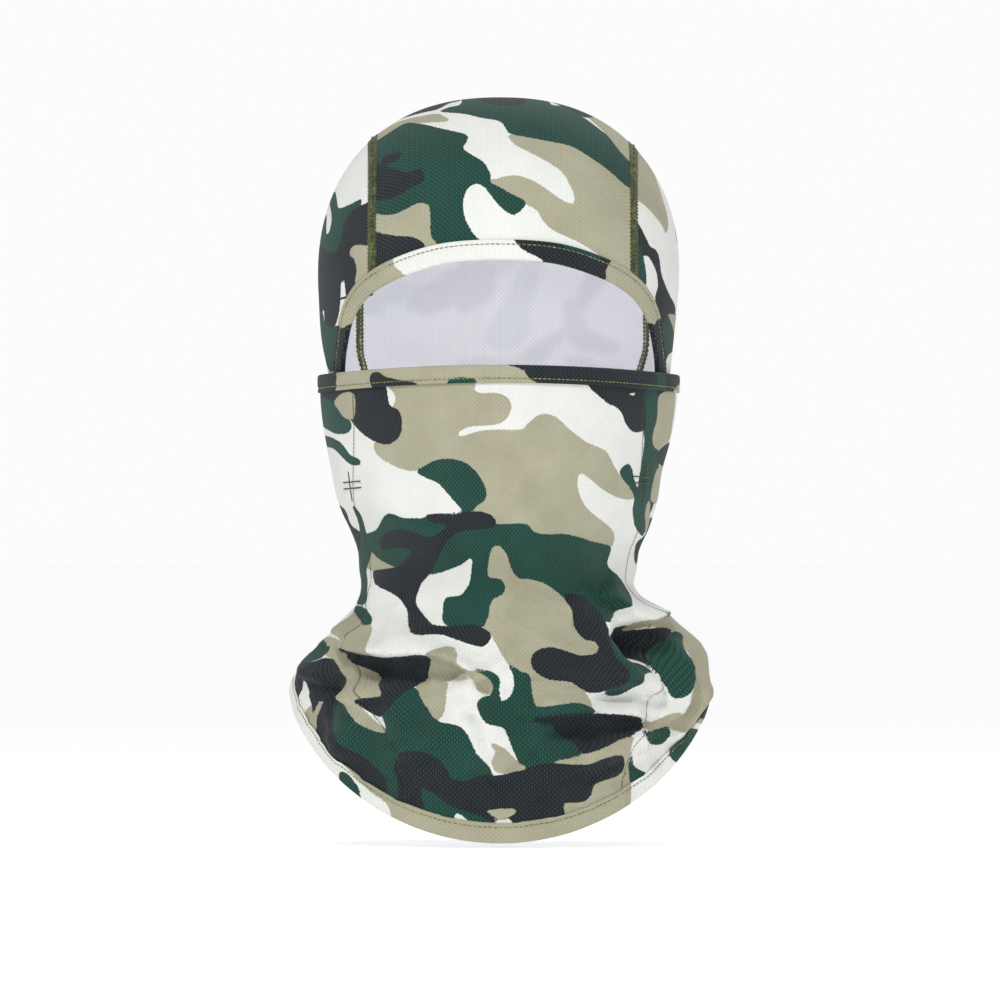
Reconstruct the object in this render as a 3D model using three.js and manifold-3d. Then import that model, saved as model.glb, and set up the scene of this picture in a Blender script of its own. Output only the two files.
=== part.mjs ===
// A two-part balaclava: a three-panel hood, and a neck tube whose elastic top edge covers the nose.
// Millimetres, +Z up. The wearer looks along -Y, and -X is called left. The origin is the centre of the head.
import * as THREE from "three";
import { mergeVertices } from "three/addons/utils/BufferGeometryUtils.js";
import Module from "manifold-3d";

const wasm = await Module();
wasm.setup();

// ---- Cloth and thread ----
const FABRIC = 1.0; // thickness of the knit
const HEM_LEAF = 0.6; // each leaf of a folded hem
const ELASTIC = 0.4; // thickness of the tape inside a hem
const TAPE_TURN_IN = 6; // from the hem's end to the tape's
const THREAD = 0.7; // height of a covering stitch
const GAP = 0.3; // between pieces that touch

// ---- Head form that the hood is stretched on ----
const HEAD_HALF_WIDTH = 78;
const HEAD_FRONT = 92;
const HEAD_BACK = 98;
const WIDEST_Z = 20; // height of the widest section
const CROWN_RISE = 80; // from the widest section to the crown
const CROWN_POWER = 2.2; // how square the crown's outline is
const NAPE_Z = -60; // lower edge of the hood
// Sections of the hood below its crown: height, half width, reach to the front and to the back.
const HOOD_SECTIONS = [
  [NAPE_Z - 10, HEAD_HALF_WIDTH - 12, HEAD_FRONT - 6, HEAD_BACK - 21],
  [NAPE_Z, HEAD_HALF_WIDTH - 9, HEAD_FRONT - 4, HEAD_BACK - 18],
  [NAPE_Z + 15, HEAD_HALF_WIDTH - 6.6, HEAD_FRONT - 2, HEAD_BACK - 12],
  [WIDEST_Z - 40, HEAD_HALF_WIDTH - 4.6, HEAD_FRONT - 1, HEAD_BACK - 4.5],
  [WIDEST_Z - 20, HEAD_HALF_WIDTH - 1.8, HEAD_FRONT, HEAD_BACK - 1],
  [WIDEST_Z, HEAD_HALF_WIDTH, HEAD_FRONT, HEAD_BACK],
];

// ---- Neck tube ----
const BAND_TOP_Z = -17.5;
const BAND_HEIGHT = 8.5;
const BAND_END_Y = 20; // the band runs forward of this
const NECK_Z = -104; // height of the narrowest section
const NECK_HALF_WIDTH = 59;
const NECK_FRONT = 79;
const NECK_BACK = 71;
const HEM_HALF_WIDTH = 90.5;
const HEM_SIDE_Z = -159; // the hem's height over the shoulders
const HEM_FRONT_DROP = 59.5;
const HEM_BACK_DROP = 42;
const HEM_REACH_FRONT = 104;
const HEM_REACH_BACK = 98;
const SHOULDER_ROUND = 14; // rounds the hem's rise over the shoulder
const HEM_HEIGHT = 9;
const HEM_FOLD = 1.2; // depth of a hem's folded edge
const towardsHem = (share) => NECK_Z + (HEM_SIDE_Z - NECK_Z) * share;
// Sections of the tube, as for the hood. It stands off the face, and lies close behind the ears.
const TUBE_SECTIONS = [
  [HEM_SIDE_Z - HEM_FRONT_DROP - 3, HEM_HALF_WIDTH, HEM_REACH_FRONT, HEM_REACH_BACK],
  [HEM_SIDE_Z - 21, HEM_HALF_WIDTH, HEM_REACH_FRONT - 7, HEM_REACH_BACK - 4],
  [HEM_SIDE_Z, HEM_HALF_WIDTH, HEM_REACH_FRONT - 14, HEM_REACH_BACK - 9],
  [towardsHem(0.56), NECK_HALF_WIDTH + 20, NECK_FRONT + 1, NECK_BACK + 8],
  [towardsHem(0.22), NECK_HALF_WIDTH + 3, NECK_FRONT - 5, NECK_BACK],
  [NECK_Z, NECK_HALF_WIDTH, NECK_FRONT, NECK_BACK],
  [(NECK_Z + NAPE_Z) / 2 - 3, NECK_HALF_WIDTH + 6, HEAD_FRONT, NECK_BACK + 4],
  [NAPE_Z, HEAD_HALF_WIDTH - 6, HEAD_FRONT + 5, HEAD_BACK - 17],
  [(NAPE_Z + BAND_TOP_Z) / 2, HEAD_HALF_WIDTH - 2, HEAD_FRONT + 12, HEAD_BACK - 10],
  [BAND_TOP_Z - BAND_HEIGHT, HEAD_HALF_WIDTH - 0.8, HEAD_FRONT + 7, HEAD_BACK - 5],
  [BAND_TOP_Z + 4, HEAD_HALF_WIDTH - 0.6, HEAD_FRONT + 5, HEAD_BACK - 2],
];

// ---- Seams, opening and stitches ----
const SEAM_X = 58; // from the middle plane to each long seam
const SEAM_SLAB = 3; // the covering stitch, across X
const STITCH_WIDTH = 1;
const STITCH_IN = 6.6; // a topstitch, from the hem's free edge
const EAR_SEAM_DROP = 7; // from the band down to the top of the seam
const TACK_Z = NAPE_Z - 7;
const TACK_SIZE = 9;
const EYE_TOP_Z = 29;
// Right half of the eye opening seen from the front, as x and z, and the way that its hem widens.
const OPENING_EDGE = [
  [0, EYE_TOP_Z, 0, 1],
  [HEAD_HALF_WIDTH - 56, EYE_TOP_Z - 1.4, 0.44, 0.93],
  [HEAD_HALF_WIDTH - 38, EYE_TOP_Z - 6.5, 0.67, 0.83],
  [HEAD_HALF_WIDTH - 21, EYE_TOP_Z - 16, 0.45, 0.67],
  [HEAD_HALF_WIDTH - 14.5, EYE_TOP_Z - 26.4, 0.45, 0.27],
  [HEAD_HALF_WIDTH - 10.3, BAND_TOP_Z, 0.45, 0],
  [HEAD_HALF_WIDTH - 12, NAPE_Z, 0.4, 0],
  [HEAD_HALF_WIDTH - 14, NAPE_Z - 30, 0.33, 0],
];

// ---- Grid of the solids ----
const COLUMNS = 32;
const ROW_STEP = 15;
const BIG = 400; // beyond the object on every side
const STATIONS = [-BIG, -70, -42, -21, 0, 21, 42, 70, BIG]; // where the hem's height is worked out, along Y

const olive = 0x6b7440;
const white = 0xe8e8e2;
const khaki = 0xafb098;
const green = 0x305f54;
const navy = 0x2c3439;

// A smooth value at height z through rows of [z, value...], read from one column.
function along(rows, column, z) {
  const last = rows.length - 1;
  if (z <= rows[0][0]) return rows[0][column];
  if (z >= rows[last][0]) return rows[last][column];
  const i = rows.findIndex((row) => row[0] > z) - 1;
  const slope = (k) => {
    const before = rows[Math.max(k - 1, 0)];
    const after = rows[Math.min(k + 1, last)];
    return (after[column] - before[column]) / (after[0] - before[0]);
  };
  const span = rows[i + 1][0] - rows[i][0];
  const s = (z - rows[i][0]) / span;
  const eased = s * s * (3 - 2 * s);
  const bend = s * (1 - s) * span * ((1 - s) * slope(i) - s * slope(i + 1));
  return rows[i][column] * (1 - eased) + rows[i + 1][column] * eased + bend;
}

// Half width and reaches of the hood at a height, with the wall moved out by `out`.
function hoodSection(z, out) {
  let share = 1;
  if (z > WIDEST_Z) {
    const rise = Math.min((z - WIDEST_Z) / (CROWN_RISE + out), 1);
    share = (1 - rise ** CROWN_POWER) ** (1 / CROWN_POWER);
  }
  return [1, 2, 3].map((column) => (along(HOOD_SECTIONS, column, z) + out) * share);
}

function tubeSection(z, out) {
  return [1, 2, 3].map((column) => along(TUBE_SECTIONS, column, z) + out);
}

// The point of a section at an angle: 0 is right, a quarter turn is the back.
function onSection([half, front, back], turn, z) {
  const side = Math.cos(turn);
  const depth = Math.sin(turn);
  return [half * side, (depth > 0 ? back : front) * depth, z];
}

// The hem drops from over the shoulders to the chest and to the back.
function hemHeight(y) {
  const [drop, reach] = y > 0 ? [HEM_BACK_DROP, HEM_REACH_BACK] : [HEM_FRONT_DROP, HEM_REACH_FRONT];
  const away = (distance) => Math.hypot(distance, SHOULDER_ROUND) - SHOULDER_ROUND;
  return HEM_SIDE_Z - (drop * away(y)) / away(reach);
}

// A closed solid from points, and triangles given as indices into them.
function toSolid(points, triangles) {
  const geometry = new THREE.BufferGeometry();
  geometry.setAttribute("position", new THREE.Float32BufferAttribute(points.flat(), 3));
  geometry.setIndex(triangles.flat());
  return geometryToSolid(geometry);
}

// A solid that can be joined and cut, from a closed geometry.
function geometryToSolid(geometry) {
  const bare = geometry.clone();
  bare.deleteAttribute("normal");
  bare.deleteAttribute("uv");
  const merged = mergeVertices(bare, 1e-4);
  return new wasm.Manifold(
    new wasm.Mesh({
      numProp: 3,
      vertProperties: new Float32Array(merged.attributes.position.array),
      triVerts: new Uint32Array(merged.index.array),
    }),
  );
}

function turnOf(column) {
  return (column / COLUMNS) * 2 * Math.PI;
}

// Triangles between two rings of COLUMNS points, where ring r starts at point r * COLUMNS.
function ringTriangles(ringFrom, ringTo, otherDiagonal = false) {
  const triangles = [];
  for (let c = 0; c < COLUMNS; c++) {
    const next = (c + 1) % COLUMNS;
    const [a, b] = [ringFrom * COLUMNS + c, ringFrom * COLUMNS + next];
    const [d, e] = [ringTo * COLUMNS + c, ringTo * COLUMNS + next];
    if (otherDiagonal) triangles.push([a, b, d], [b, e, d]);
    else triangles.push([a, b, e], [a, e, d]);
  }
  return triangles;
}

// The hood's form filled solid, from its lowest section to its crown.
function crownSolid(out) {
  const points = [];
  const triangles = [];
  const low = HOOD_SECTIONS[0][0];
  const crown = WIDEST_Z + CROWN_RISE + out;
  const below = Math.ceil((WIDEST_Z - low) / ROW_STEP);
  const above = Math.ceil((Math.PI / 2) * (CROWN_RISE / ROW_STEP / 1.3));
  const heights = [];
  for (let r = 0; r < below; r++) heights.push(low + ((WIDEST_Z - low) * r) / below);
  for (let r = 0; r < above; r++) {
    heights.push(WIDEST_Z + (CROWN_RISE + out) * Math.sin(((Math.PI / 2) * r) / above));
  }
  heights.forEach((z, r) => {
    for (let c = 0; c < COLUMNS; c++) points.push(onSection(hoodSection(z, out), turnOf(c), z));
    if (r > 0) triangles.push(...ringTriangles(r - 1, r));
  });
  const top = points.push([0, 0, crown]) - 1;
  const bottom = points.push([0, 0, low]) - 1;
  const last = (heights.length - 1) * COLUMNS;
  for (let c = 0; c < COLUMNS; c++) {
    const next = (c + 1) % COLUMNS;
    triangles.push([last + c, last + next, top], [next, c, bottom]);
  }
  return toSolid(points, triangles);
}

// The hood's wall between two offsets, with its lower edge at `low`.
function hoodWall(inner, outer, low = NAPE_Z) {
  const kept = block([-BIG, -BIG, low], [BIG, BIG, BIG]);
  return crownSolid(outer).subtract(crownSolid(inner)).intersect(kept);
}

// The tube's form filled solid, over all its sections.
function tubeSolid(out) {
  const points = [];
  const triangles = [];
  const low = TUBE_SECTIONS[0][0];
  const high = TUBE_SECTIONS.at(-1)[0];
  const rows = Math.ceil((high - low) / ROW_STEP);
  for (let r = 0; r <= rows; r++) {
    const z = low + ((high - low) * r) / rows;
    for (let c = 0; c < COLUMNS; c++) points.push(onSection(tubeSection(z, out), turnOf(c), z));
    if (r > 0) triangles.push(...ringTriangles(r - 1, r));
  }
  const bottom = points.push([0, 0, low]) - 1;
  const top = points.push([0, 0, high]) - 1;
  const last = rows * COLUMNS;
  for (let c = 0; c < COLUMNS; c++) {
    const next = (c + 1) % COLUMNS;
    triangles.push([last + c, last + next, top], [next, c, bottom]);
  }
  return toSolid(points, triangles);
}

// The space between two heights, each a function of y.
function between(lowAt, highAt) {
  const floor = STATIONS.map((y) => new THREE.Vector2(y, lowAt(y)));
  const roof = STATIONS.map((y) => new THREE.Vector2(y, highAt(y))).reverse();
  const shape = new THREE.Shape([...floor, ...roof]);
  const geometry = new THREE.ExtrudeGeometry(shape, { depth: 2 * BIG, bevelEnabled: false, steps: 1 });
  geometry.translate(0, 0, -BIG);
  geometry.applyMatrix4(new THREE.Matrix4().set(0, 0, 1, 0, 1, 0, 0, 0, 0, 1, 0, 0, 0, 0, 0, 1));
  return geometryToSolid(geometry);
}

// A ring of the tube's wall between two offsets, from height lowAt(y) to highAt(y).
function tubeWall(inner, outer, lowAt, highAt) {
  return tubeSolid(outer).subtract(tubeSolid(inner)).intersect(between(lowAt, highAt));
}

function block(low, high) {
  const size = high.map((value, i) => value - low[i]);
  const geometry = new THREE.BoxGeometry(...size);
  geometry.translate(...low.map((value, i) => value + size[i] / 2));
  return geometryToSolid(geometry);
}

// The space in front of the middle plane that lies inside an outline of the eye opening.
function openingPrism(edge) {
  const right = new THREE.SplineCurve(edge.map(([x, z]) => new THREE.Vector2(x, z))).getPoints(26);
  const left = right.slice(1).reverse().map((p) => new THREE.Vector2(-p.x, p.y));
  const shape = new THREE.Shape([...left, ...right]);
  const geometry = new THREE.ExtrudeGeometry(shape, { depth: BIG / 2, bevelEnabled: false, steps: 1 });
  geometry.rotateX(Math.PI / 2); // the shape's second axis becomes +Z, and the depth runs to -Y
  return geometryToSolid(geometry);
}

// The space between two shares of the way from the opening's edge to its hem's outer edge.
function betweenEdges(from, to) {
  const mixed = (share) => OPENING_EDGE.map(([x, z, outX, outZ]) => [
    x + outX * HEM_HEIGHT * share,
    z + outZ * HEM_HEIGHT * share,
  ]);
  const outer = openingPrism(mixed(to));
  return from === null ? outer : outer.subtract(openingPrism(mixed(from)));
}

const slab = (from, to) => block([from, -BIG, -BIG], [to, BIG, BIG]);
const middle = slab(-SEAM_X + GAP / 2, SEAM_X - GAP / 2);
const leftSide = slab(-BIG, -SEAM_X - GAP / 2);
const rightSide = slab(SEAM_X + GAP / 2, BIG);
const frontHalf = block([-BIG, -BIG, -BIG], [BIG, 0, BIG]);
const backHalf = block([-BIG, 0, -BIG], [BIG, BIG, BIG]);

const group = new THREE.Group();

function add(name, solid, colour, roughness = 0.9) {
  const mesh = solid.getMesh();
  const geometry = new THREE.BufferGeometry();
  geometry.setAttribute("position", new THREE.BufferAttribute(new Float32Array(mesh.vertProperties), 3));
  geometry.setIndex(new THREE.BufferAttribute(new Uint32Array(mesh.triVerts), 1));
  const made = new THREE.Mesh(
    geometry,
    new THREE.MeshStandardMaterial({ color: colour, roughness, metalness: 0 }),
  );
  made.name = name;
  group.add(made);
}

// ---- Hood ----
const hoodCloth = hoodWall(-FABRIC, 0);
const hemGap = GAP / HEM_HEIGHT; // a gap as a share of the hem's height
const hoodPanels = hoodCloth.subtract(betweenEdges(null, 1 + hemGap));
add("crown_panel", hoodPanels.intersect(middle), white);
add("hood_side_left", hoodPanels.intersect(leftSide), green);
add("hood_side_right", hoodPanels.intersect(rightSide), white);

const browBlank = hoodWall(-FABRIC - HEM_LEAF, HEM_LEAF);
const browSlot = hoodWall(-FABRIC, 0, NAPE_Z - 2).intersect(betweenEdges(0.12, 1.4));
add("brow_hem", browBlank.intersect(betweenEdges(0, 1)).subtract(browSlot), khaki);
const tapeIn = (FABRIC - ELASTIC) / 2;
const browTape = hoodWall(-tapeIn - ELASTIC, -tapeIn, NAPE_Z + TAPE_TURN_IN);
add("brow_elastic", browTape.intersect(betweenEdges(0.2, 0.75)), white, 0.6);
const browStitch = hoodWall(HEM_LEAF + GAP, HEM_LEAF + GAP + THREAD / 2, NAPE_Z + 1);
const stitchShare = STITCH_IN / HEM_HEIGHT;
const stitchLine = betweenEdges(stitchShare, stitchShare + STITCH_WIDTH / HEM_HEIGHT);
add("brow_topstitch", browStitch.intersect(stitchLine), olive, 0.7);

// The long covering stitches start clear of the brow hem and end above the nape.
const seamEnds = betweenEdges(null, 1 + 3 * hemGap);
const coverOutside = hoodWall(GAP, GAP + THREAD, NAPE_Z + 1).subtract(seamEnds);
const coverInside = hoodWall(-FABRIC - GAP - THREAD, -FABRIC - GAP, NAPE_Z + 1).subtract(seamEnds);
for (const [side, sign] of [["left", -1], ["right", 1]]) {
  const line = slab(sign * SEAM_X - SEAM_SLAB / 2, sign * SEAM_X + SEAM_SLAB / 2);
  add("crown_seam_" + side, coverOutside.intersect(line), olive, 0.7);
  add("crown_seam_inside_" + side, coverInside.intersect(line), olive, 0.7);
}

// ---- Neck tube ----
const bandLow = BAND_TOP_Z - BAND_HEIGHT;
const hemTop = (y) => hemHeight(y) + HEM_HEIGHT;
const tubeCloth = tubeWall(-FABRIC, 0, (y) => hemHeight(y) + HEM_FOLD + GAP, () => bandLow - GAP);
const behindEars = block([-BIG, BAND_END_Y, NAPE_Z - GAP], [BIG, BIG, BIG]);
const tubePanels = tubeCloth.subtract(behindEars);
add("face_panel", tubePanels.intersect(middle).intersect(frontHalf), khaki);
add("neck_back", tubePanels.intersect(middle).intersect(backHalf), navy);
add("cheek_left", tubePanels.intersect(leftSide), white);
add("cheek_right", tubePanels.intersect(rightSide), green);

// Plain seams: a narrow overlocked allowance on the inside, over each long seam.
const allowance = tubeWall(
  -FABRIC - GAP - THREAD,
  -FABRIC - GAP,
  (y) => hemTop(y) + 2 * GAP,
  () => NAPE_Z - 2 * GAP,
);
for (const [side, sign] of [["left", -1], ["right", 1]]) {
  const line = slab(sign * SEAM_X - SEAM_SLAB / 2, sign * SEAM_X + SEAM_SLAB / 2);
  add("front_seam_" + side, allowance.intersect(line).intersect(frontHalf), olive, 0.7);
  add("back_seam_" + side, allowance.intersect(line).intersect(backHalf), olive, 0.7);
}

// The nape seam covers the tube's edge where the hood is sewn to it.
const napeSeam = tubeWall(GAP, GAP + THREAD, () => NAPE_Z - 4, () => NAPE_Z - 2 * GAP);
const behindBand = block([-BIG, BAND_END_Y + 4, -BIG], [BIG, BIG, BIG]);
add("nape_seam", napeSeam.intersect(behindBand), olive, 0.7);

// Ear seams: where the cheeks' back edges are sewn to the hood, below the ends of the face band.
const earWall = tubeWall(GAP, GAP + THREAD, () => NAPE_Z, () => bandLow - EAR_SEAM_DROP);
const earStrip = block([-BIG, BAND_END_Y - SEAM_SLAB, -BIG], [BIG, BAND_END_Y, BIG]);
add("ear_seam_left", earWall.intersect(earStrip).intersect(leftSide), olive, 0.7);
add("ear_seam_right", earWall.intersect(earStrip).intersect(rightSide), olive, 0.7);

// Side tacks: a reinforcing stitch across each front seam, level with the mouth.
const tackWall = tubeWall(GAP, GAP + THREAD, () => TACK_Z - TACK_SIZE / 2, () => TACK_Z + TACK_SIZE / 2);
for (const [side, sign] of [["left", -1], ["right", 1]]) {
  const near = sign * (SEAM_X + 1);
  const far = sign * (SEAM_X + 1 + TACK_SIZE / 2);
  const patch = slab(Math.min(near, far), Math.max(near, far)).intersect(frontHalf);
  add("side_tack_" + side, tackWall.intersect(patch), olive, 0.7);
}

// Bottom hem, folded up round the cloth's edge, and its topstitch.
const hemOut = GAP + HEM_LEAF;
const hemBlank = tubeWall(-FABRIC - hemOut, hemOut, hemHeight, hemTop);
const hemSlot = tubeWall(-FABRIC - GAP, GAP, (y) => hemHeight(y) + HEM_FOLD, (y) => hemTop(y) + 1);
add("bottom_hem", hemBlank.subtract(hemSlot), khaki);
const hemStitch = tubeWall(
  hemOut + GAP,
  hemOut + GAP + THREAD / 2,
  (y) => hemHeight(y) + STITCH_IN,
  (y) => hemHeight(y) + STITCH_IN + STITCH_WIDTH,
);
add("bottom_topstitch", hemStitch, olive, 0.7);

// ---- Face band: the tube's elastic top edge, from ear to ear over the nose ----
const beforeEars = block([-BIG, -BIG, -BIG], [BIG, BAND_END_Y, BIG]);
const bandBlank = tubeWall(-FABRIC - HEM_LEAF, HEM_LEAF, () => bandLow, () => BAND_TOP_Z);
const bandSlot = tubeWall(-FABRIC, 0, () => bandLow - 1, () => BAND_TOP_Z - 1);
add("face_hem", bandBlank.subtract(bandSlot).intersect(beforeEars), khaki);
const tape = tubeWall(-tapeIn - ELASTIC, -tapeIn, () => bandLow + 1, () => BAND_TOP_Z - 1.6);
add("face_elastic", tape.intersect(beforeEars), white, 0.6);
const bandStitch = tubeWall(
  HEM_LEAF + GAP,
  HEM_LEAF + GAP + THREAD / 2,
  () => BAND_TOP_Z - STITCH_IN - STITCH_WIDTH,
  () => BAND_TOP_Z - STITCH_IN,
);
add("face_topstitch", bandStitch.intersect(beforeEars), olive, 0.7);

export default group;
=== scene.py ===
"""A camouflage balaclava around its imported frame: cloth panels, folded hems, elastics, seams and a studio."""
import math

import bpy
import numpy as np
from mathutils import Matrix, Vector


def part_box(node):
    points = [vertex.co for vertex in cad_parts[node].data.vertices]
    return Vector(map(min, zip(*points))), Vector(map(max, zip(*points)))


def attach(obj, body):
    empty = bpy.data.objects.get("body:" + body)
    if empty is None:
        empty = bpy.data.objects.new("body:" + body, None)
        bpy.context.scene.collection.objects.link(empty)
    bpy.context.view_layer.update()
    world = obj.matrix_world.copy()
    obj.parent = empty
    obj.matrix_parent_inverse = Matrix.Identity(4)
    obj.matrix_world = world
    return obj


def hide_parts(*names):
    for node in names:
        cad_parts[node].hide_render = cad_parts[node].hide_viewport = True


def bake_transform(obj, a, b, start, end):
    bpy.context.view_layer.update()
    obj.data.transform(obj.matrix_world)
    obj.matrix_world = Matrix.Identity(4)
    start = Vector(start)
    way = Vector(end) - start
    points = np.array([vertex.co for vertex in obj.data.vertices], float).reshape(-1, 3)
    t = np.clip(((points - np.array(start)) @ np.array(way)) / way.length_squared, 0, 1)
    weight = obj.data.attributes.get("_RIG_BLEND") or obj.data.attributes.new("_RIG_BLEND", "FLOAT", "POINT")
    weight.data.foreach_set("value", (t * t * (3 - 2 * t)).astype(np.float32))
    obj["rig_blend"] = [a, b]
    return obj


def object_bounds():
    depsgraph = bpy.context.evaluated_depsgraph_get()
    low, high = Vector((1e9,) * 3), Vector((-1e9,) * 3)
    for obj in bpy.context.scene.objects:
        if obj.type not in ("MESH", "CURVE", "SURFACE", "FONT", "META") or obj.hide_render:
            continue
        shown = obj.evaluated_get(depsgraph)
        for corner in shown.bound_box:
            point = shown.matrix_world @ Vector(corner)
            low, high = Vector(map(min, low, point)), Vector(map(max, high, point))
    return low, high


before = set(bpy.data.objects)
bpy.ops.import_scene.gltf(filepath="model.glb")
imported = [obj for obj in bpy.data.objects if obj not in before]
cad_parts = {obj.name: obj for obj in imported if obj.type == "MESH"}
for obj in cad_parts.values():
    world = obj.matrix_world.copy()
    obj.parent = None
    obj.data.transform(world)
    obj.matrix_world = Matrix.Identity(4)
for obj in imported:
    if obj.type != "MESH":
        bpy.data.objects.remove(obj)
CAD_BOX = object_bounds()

bl_info = {
    "name": "Camouflage Balaclava",
    "version": (1, 0, 0),
    "blender": (4, 5, 0),
    "location": "3D View > Sidebar > Balaclava",
    "description": "Makes the cloth, hems, seams and studio of a camouflage balaclava",
    "category": "Object",
}

# Lengths below are millimetres. The frame is in metres.
MM = 0.001
ROOT, COVER = "hood_and_neck", "face_cover"


def edge(node, end, axis):
    """One face of a CAD node's box, in millimetres."""
    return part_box(node)[end][axis] / MM


# ---- Sizes that come from the frame ----
HEAD_SIDE = edge("hood_side_right", 1, 0)
CROWN_Z = edge("crown_panel", 1, 2)
NAPE_Z = edge("hood_side_left", 0, 2)
BAND_TOP = edge("face_hem", 1, 2)
BAND_LOW = edge("face_hem", 0, 2)
BAND_END_Y = edge("face_hem", 1, 1)
HEM_LOW = edge("bottom_hem", 0, 2)
HEM_SIDE = edge("bottom_hem", 1, 0) - 1
HEM_FRONT_Y = -edge("bottom_hem", 0, 1) - 1
HEM_BACK_Y = edge("bottom_hem", 1, 1) - 1
TACK_Z = (edge("side_tack_left", 0, 2) + edge("side_tack_left", 1, 2)) / 2

# ---- Hood form: a superellipse above WIDEST_Z, and sections below it ----
WIDEST_Z = 15
DOME_POWER, DOME_ROOT = 2.5, 0.435
HEAD_FRONT, HEAD_BACK = 92, 98
HOOD_ROWS = [  # height, left, right, front, back
    (NAPE_Z - 12, 65, 65, 86, 77), (NAPE_Z, 68, 68, 88, 80), (-45, 71, 70.5, 90, 86),
    (-20, 73.6, 73, 91, 93.5), (-5, 76.6, 74.6, 91.6, 96), (WIDEST_Z, HEAD_SIDE, 76.6, HEAD_FRONT, HEAD_BACK),
    (CROWN_Z, HEAD_SIDE, 76.6, HEAD_FRONT, HEAD_BACK),
]
# ---- Tube form ----
TUBE_ROWS = [
    (HEM_LOW - 4, HEM_SIDE, HEM_SIDE, HEM_FRONT_Y, HEM_BACK_Y), (-180, HEM_SIDE, HEM_SIDE, 97, 94),
    (-160, HEM_SIDE, HEM_SIDE, 91, 89), (-150, 88, 89, 87, 86), (-141, 82, 86, 84, 83), (-133, 75, 81, 80, 79),
    (-126, 67, 74, 77, 75), (-119, 61.5, 65, 75, 72), (-110, 59.3, 57.5, 76, 70.5), (-104, 59.8, 58, 79, 71),
    (-95, 61, 59.5, 86, 72.5), (-85, 64.5, 64, 91.5, 75), (-74, 69.5, 67.5, 94, 78), (-60, 72.6, 69.8, 95.5, 82),
    (-50, 74.5, 72.6, 97, 85), (-40, 76.2, 74.8, 99, 88), (-30, 77.2, 76, 98.5, 91), (BAND_LOW, 77.3, 76.2, 97.5, 93),
    (BAND_TOP + 6, 77, 76, 96, 96),
]
NOSE = (0, -38, 14, 20, 5)  # x, z, spread in x and z, height of the soft rise in the cloth
HEM_Z_SIDE = -156.5  # height of the hem's free edge over the shoulders
HEM_DROP_FRONT = HEM_Z_SIDE - HEM_LOW
HEM_DROP_BACK = 44
SHOULDER_ROUND = 16
HEM_TALL = 8.6
CLOTH = 0.9
TURN_MM = 82  # millimetres of print for each radian round the tube

# ---- Seams ----
CROWN_SEAM_X = (-54.6, 57.2)
SEAM_SPREAD = 7  # how much further out the crown seams run behind the ears
BROW_HEM_WIDE = 8.6
# Right half of the eye opening from the front: x, z, and the way its hem widens.
BROW_EDGE = [
    (0, 28.8, 0, 1), (22, 27.4, 0.34, 0.97), (40, 22.3, 0.55, 0.86), (52, 16.6, 0.62, 0.7), (59, 10.5, 0.6, 0.5),
    (63.3, 3, 0.55, 0.25), (65.6, -6, 0.45, 0.1), (67, -18, 0.42, 0), (66.4, -40, 0.4, 0), (65, -58, 0.4, 0),
]


def smooth_rows(rows, step=0.5):
    """Rows of (height, values...) joined by smooth curves: heights, and one array for each value."""
    heights = np.array([row[0] for row in rows], float)
    values = np.array([row[1:] for row in rows], float)
    slopes = np.gradient(values, heights, axis=0)
    fine = np.arange(heights[0], heights[-1] + step, step).clip(heights[0], heights[-1])
    i = np.clip(np.searchsorted(heights, fine, side="right") - 1, 0, len(heights) - 2)
    span = (heights[i + 1] - heights[i])[:, None]
    s = ((fine - heights[i])[:, None]) / span
    eased = s * s * (3 - 2 * s)
    bend = s * (1 - s) * span * ((1 - s) * slopes[i] - s * slopes[i + 1])
    return fine, (values[i] * (1 - eased) + values[i + 1] * eased + bend).T


HOOD_FINE = smooth_rows(HOOD_ROWS)
TUBE_FINE = smooth_rows(TUBE_ROWS)


def section(fine, z):
    """Left, right, front and back reach at heights z."""
    heights, values = fine
    return [np.interp(z, heights, value) for value in values]


def hood_section(z):
    rise = np.clip((z - WIDEST_Z) / (CROWN_Z - WIDEST_Z), 0, 1)
    share = (1 - rise ** DOME_POWER) ** DOME_ROOT
    return [reach * share for reach in section(HOOD_FINE, z)]


def tube_section(z):
    return section(TUBE_FINE, z)


def on_ellipse(reaches, turn, z):
    """Points of a section. Turn 0 is the front, and a quarter turn is the right side."""
    left, right, front, back = reaches
    x = np.where(np.sin(turn) > 0, right, left) * np.sin(turn)
    y = -np.where(np.cos(turn) > 0, front, back) * np.cos(turn)
    return np.stack([x, y, np.broadcast_to(z, x.shape)], -1)


def turn_at(reaches, x):
    """The turn at which the front of a section passes x."""
    left, right = reaches[0], reaches[1]
    return np.arcsin(np.clip(x / np.where(x > 0, right, left), -1, 1))


def tube_point(turn, z):
    """The tube before it is folded, with the soft rise of its front."""
    points = on_ellipse(tube_section(z), turn, z)
    x0, z0, wide, tall, high = NOSE
    rise = high * np.exp(-((points[..., 0] - x0) / wide) ** 2 / 2 - ((points[..., 2] - z0) / tall) ** 2 / 2)
    points[..., 1] -= np.where(np.cos(turn) > 0, rise, 0)
    return points


def hem_height(y):
    """Height of the bottom hem's free edge."""
    away = lambda d: np.hypot(d, SHOULDER_ROUND) - SHOULDER_ROUND
    drop = np.where(y > 0, HEM_DROP_BACK / away(HEM_BACK_Y), HEM_DROP_FRONT / away(HEM_FRONT_Y))
    return HEM_Z_SIDE - drop * away(y)


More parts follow.
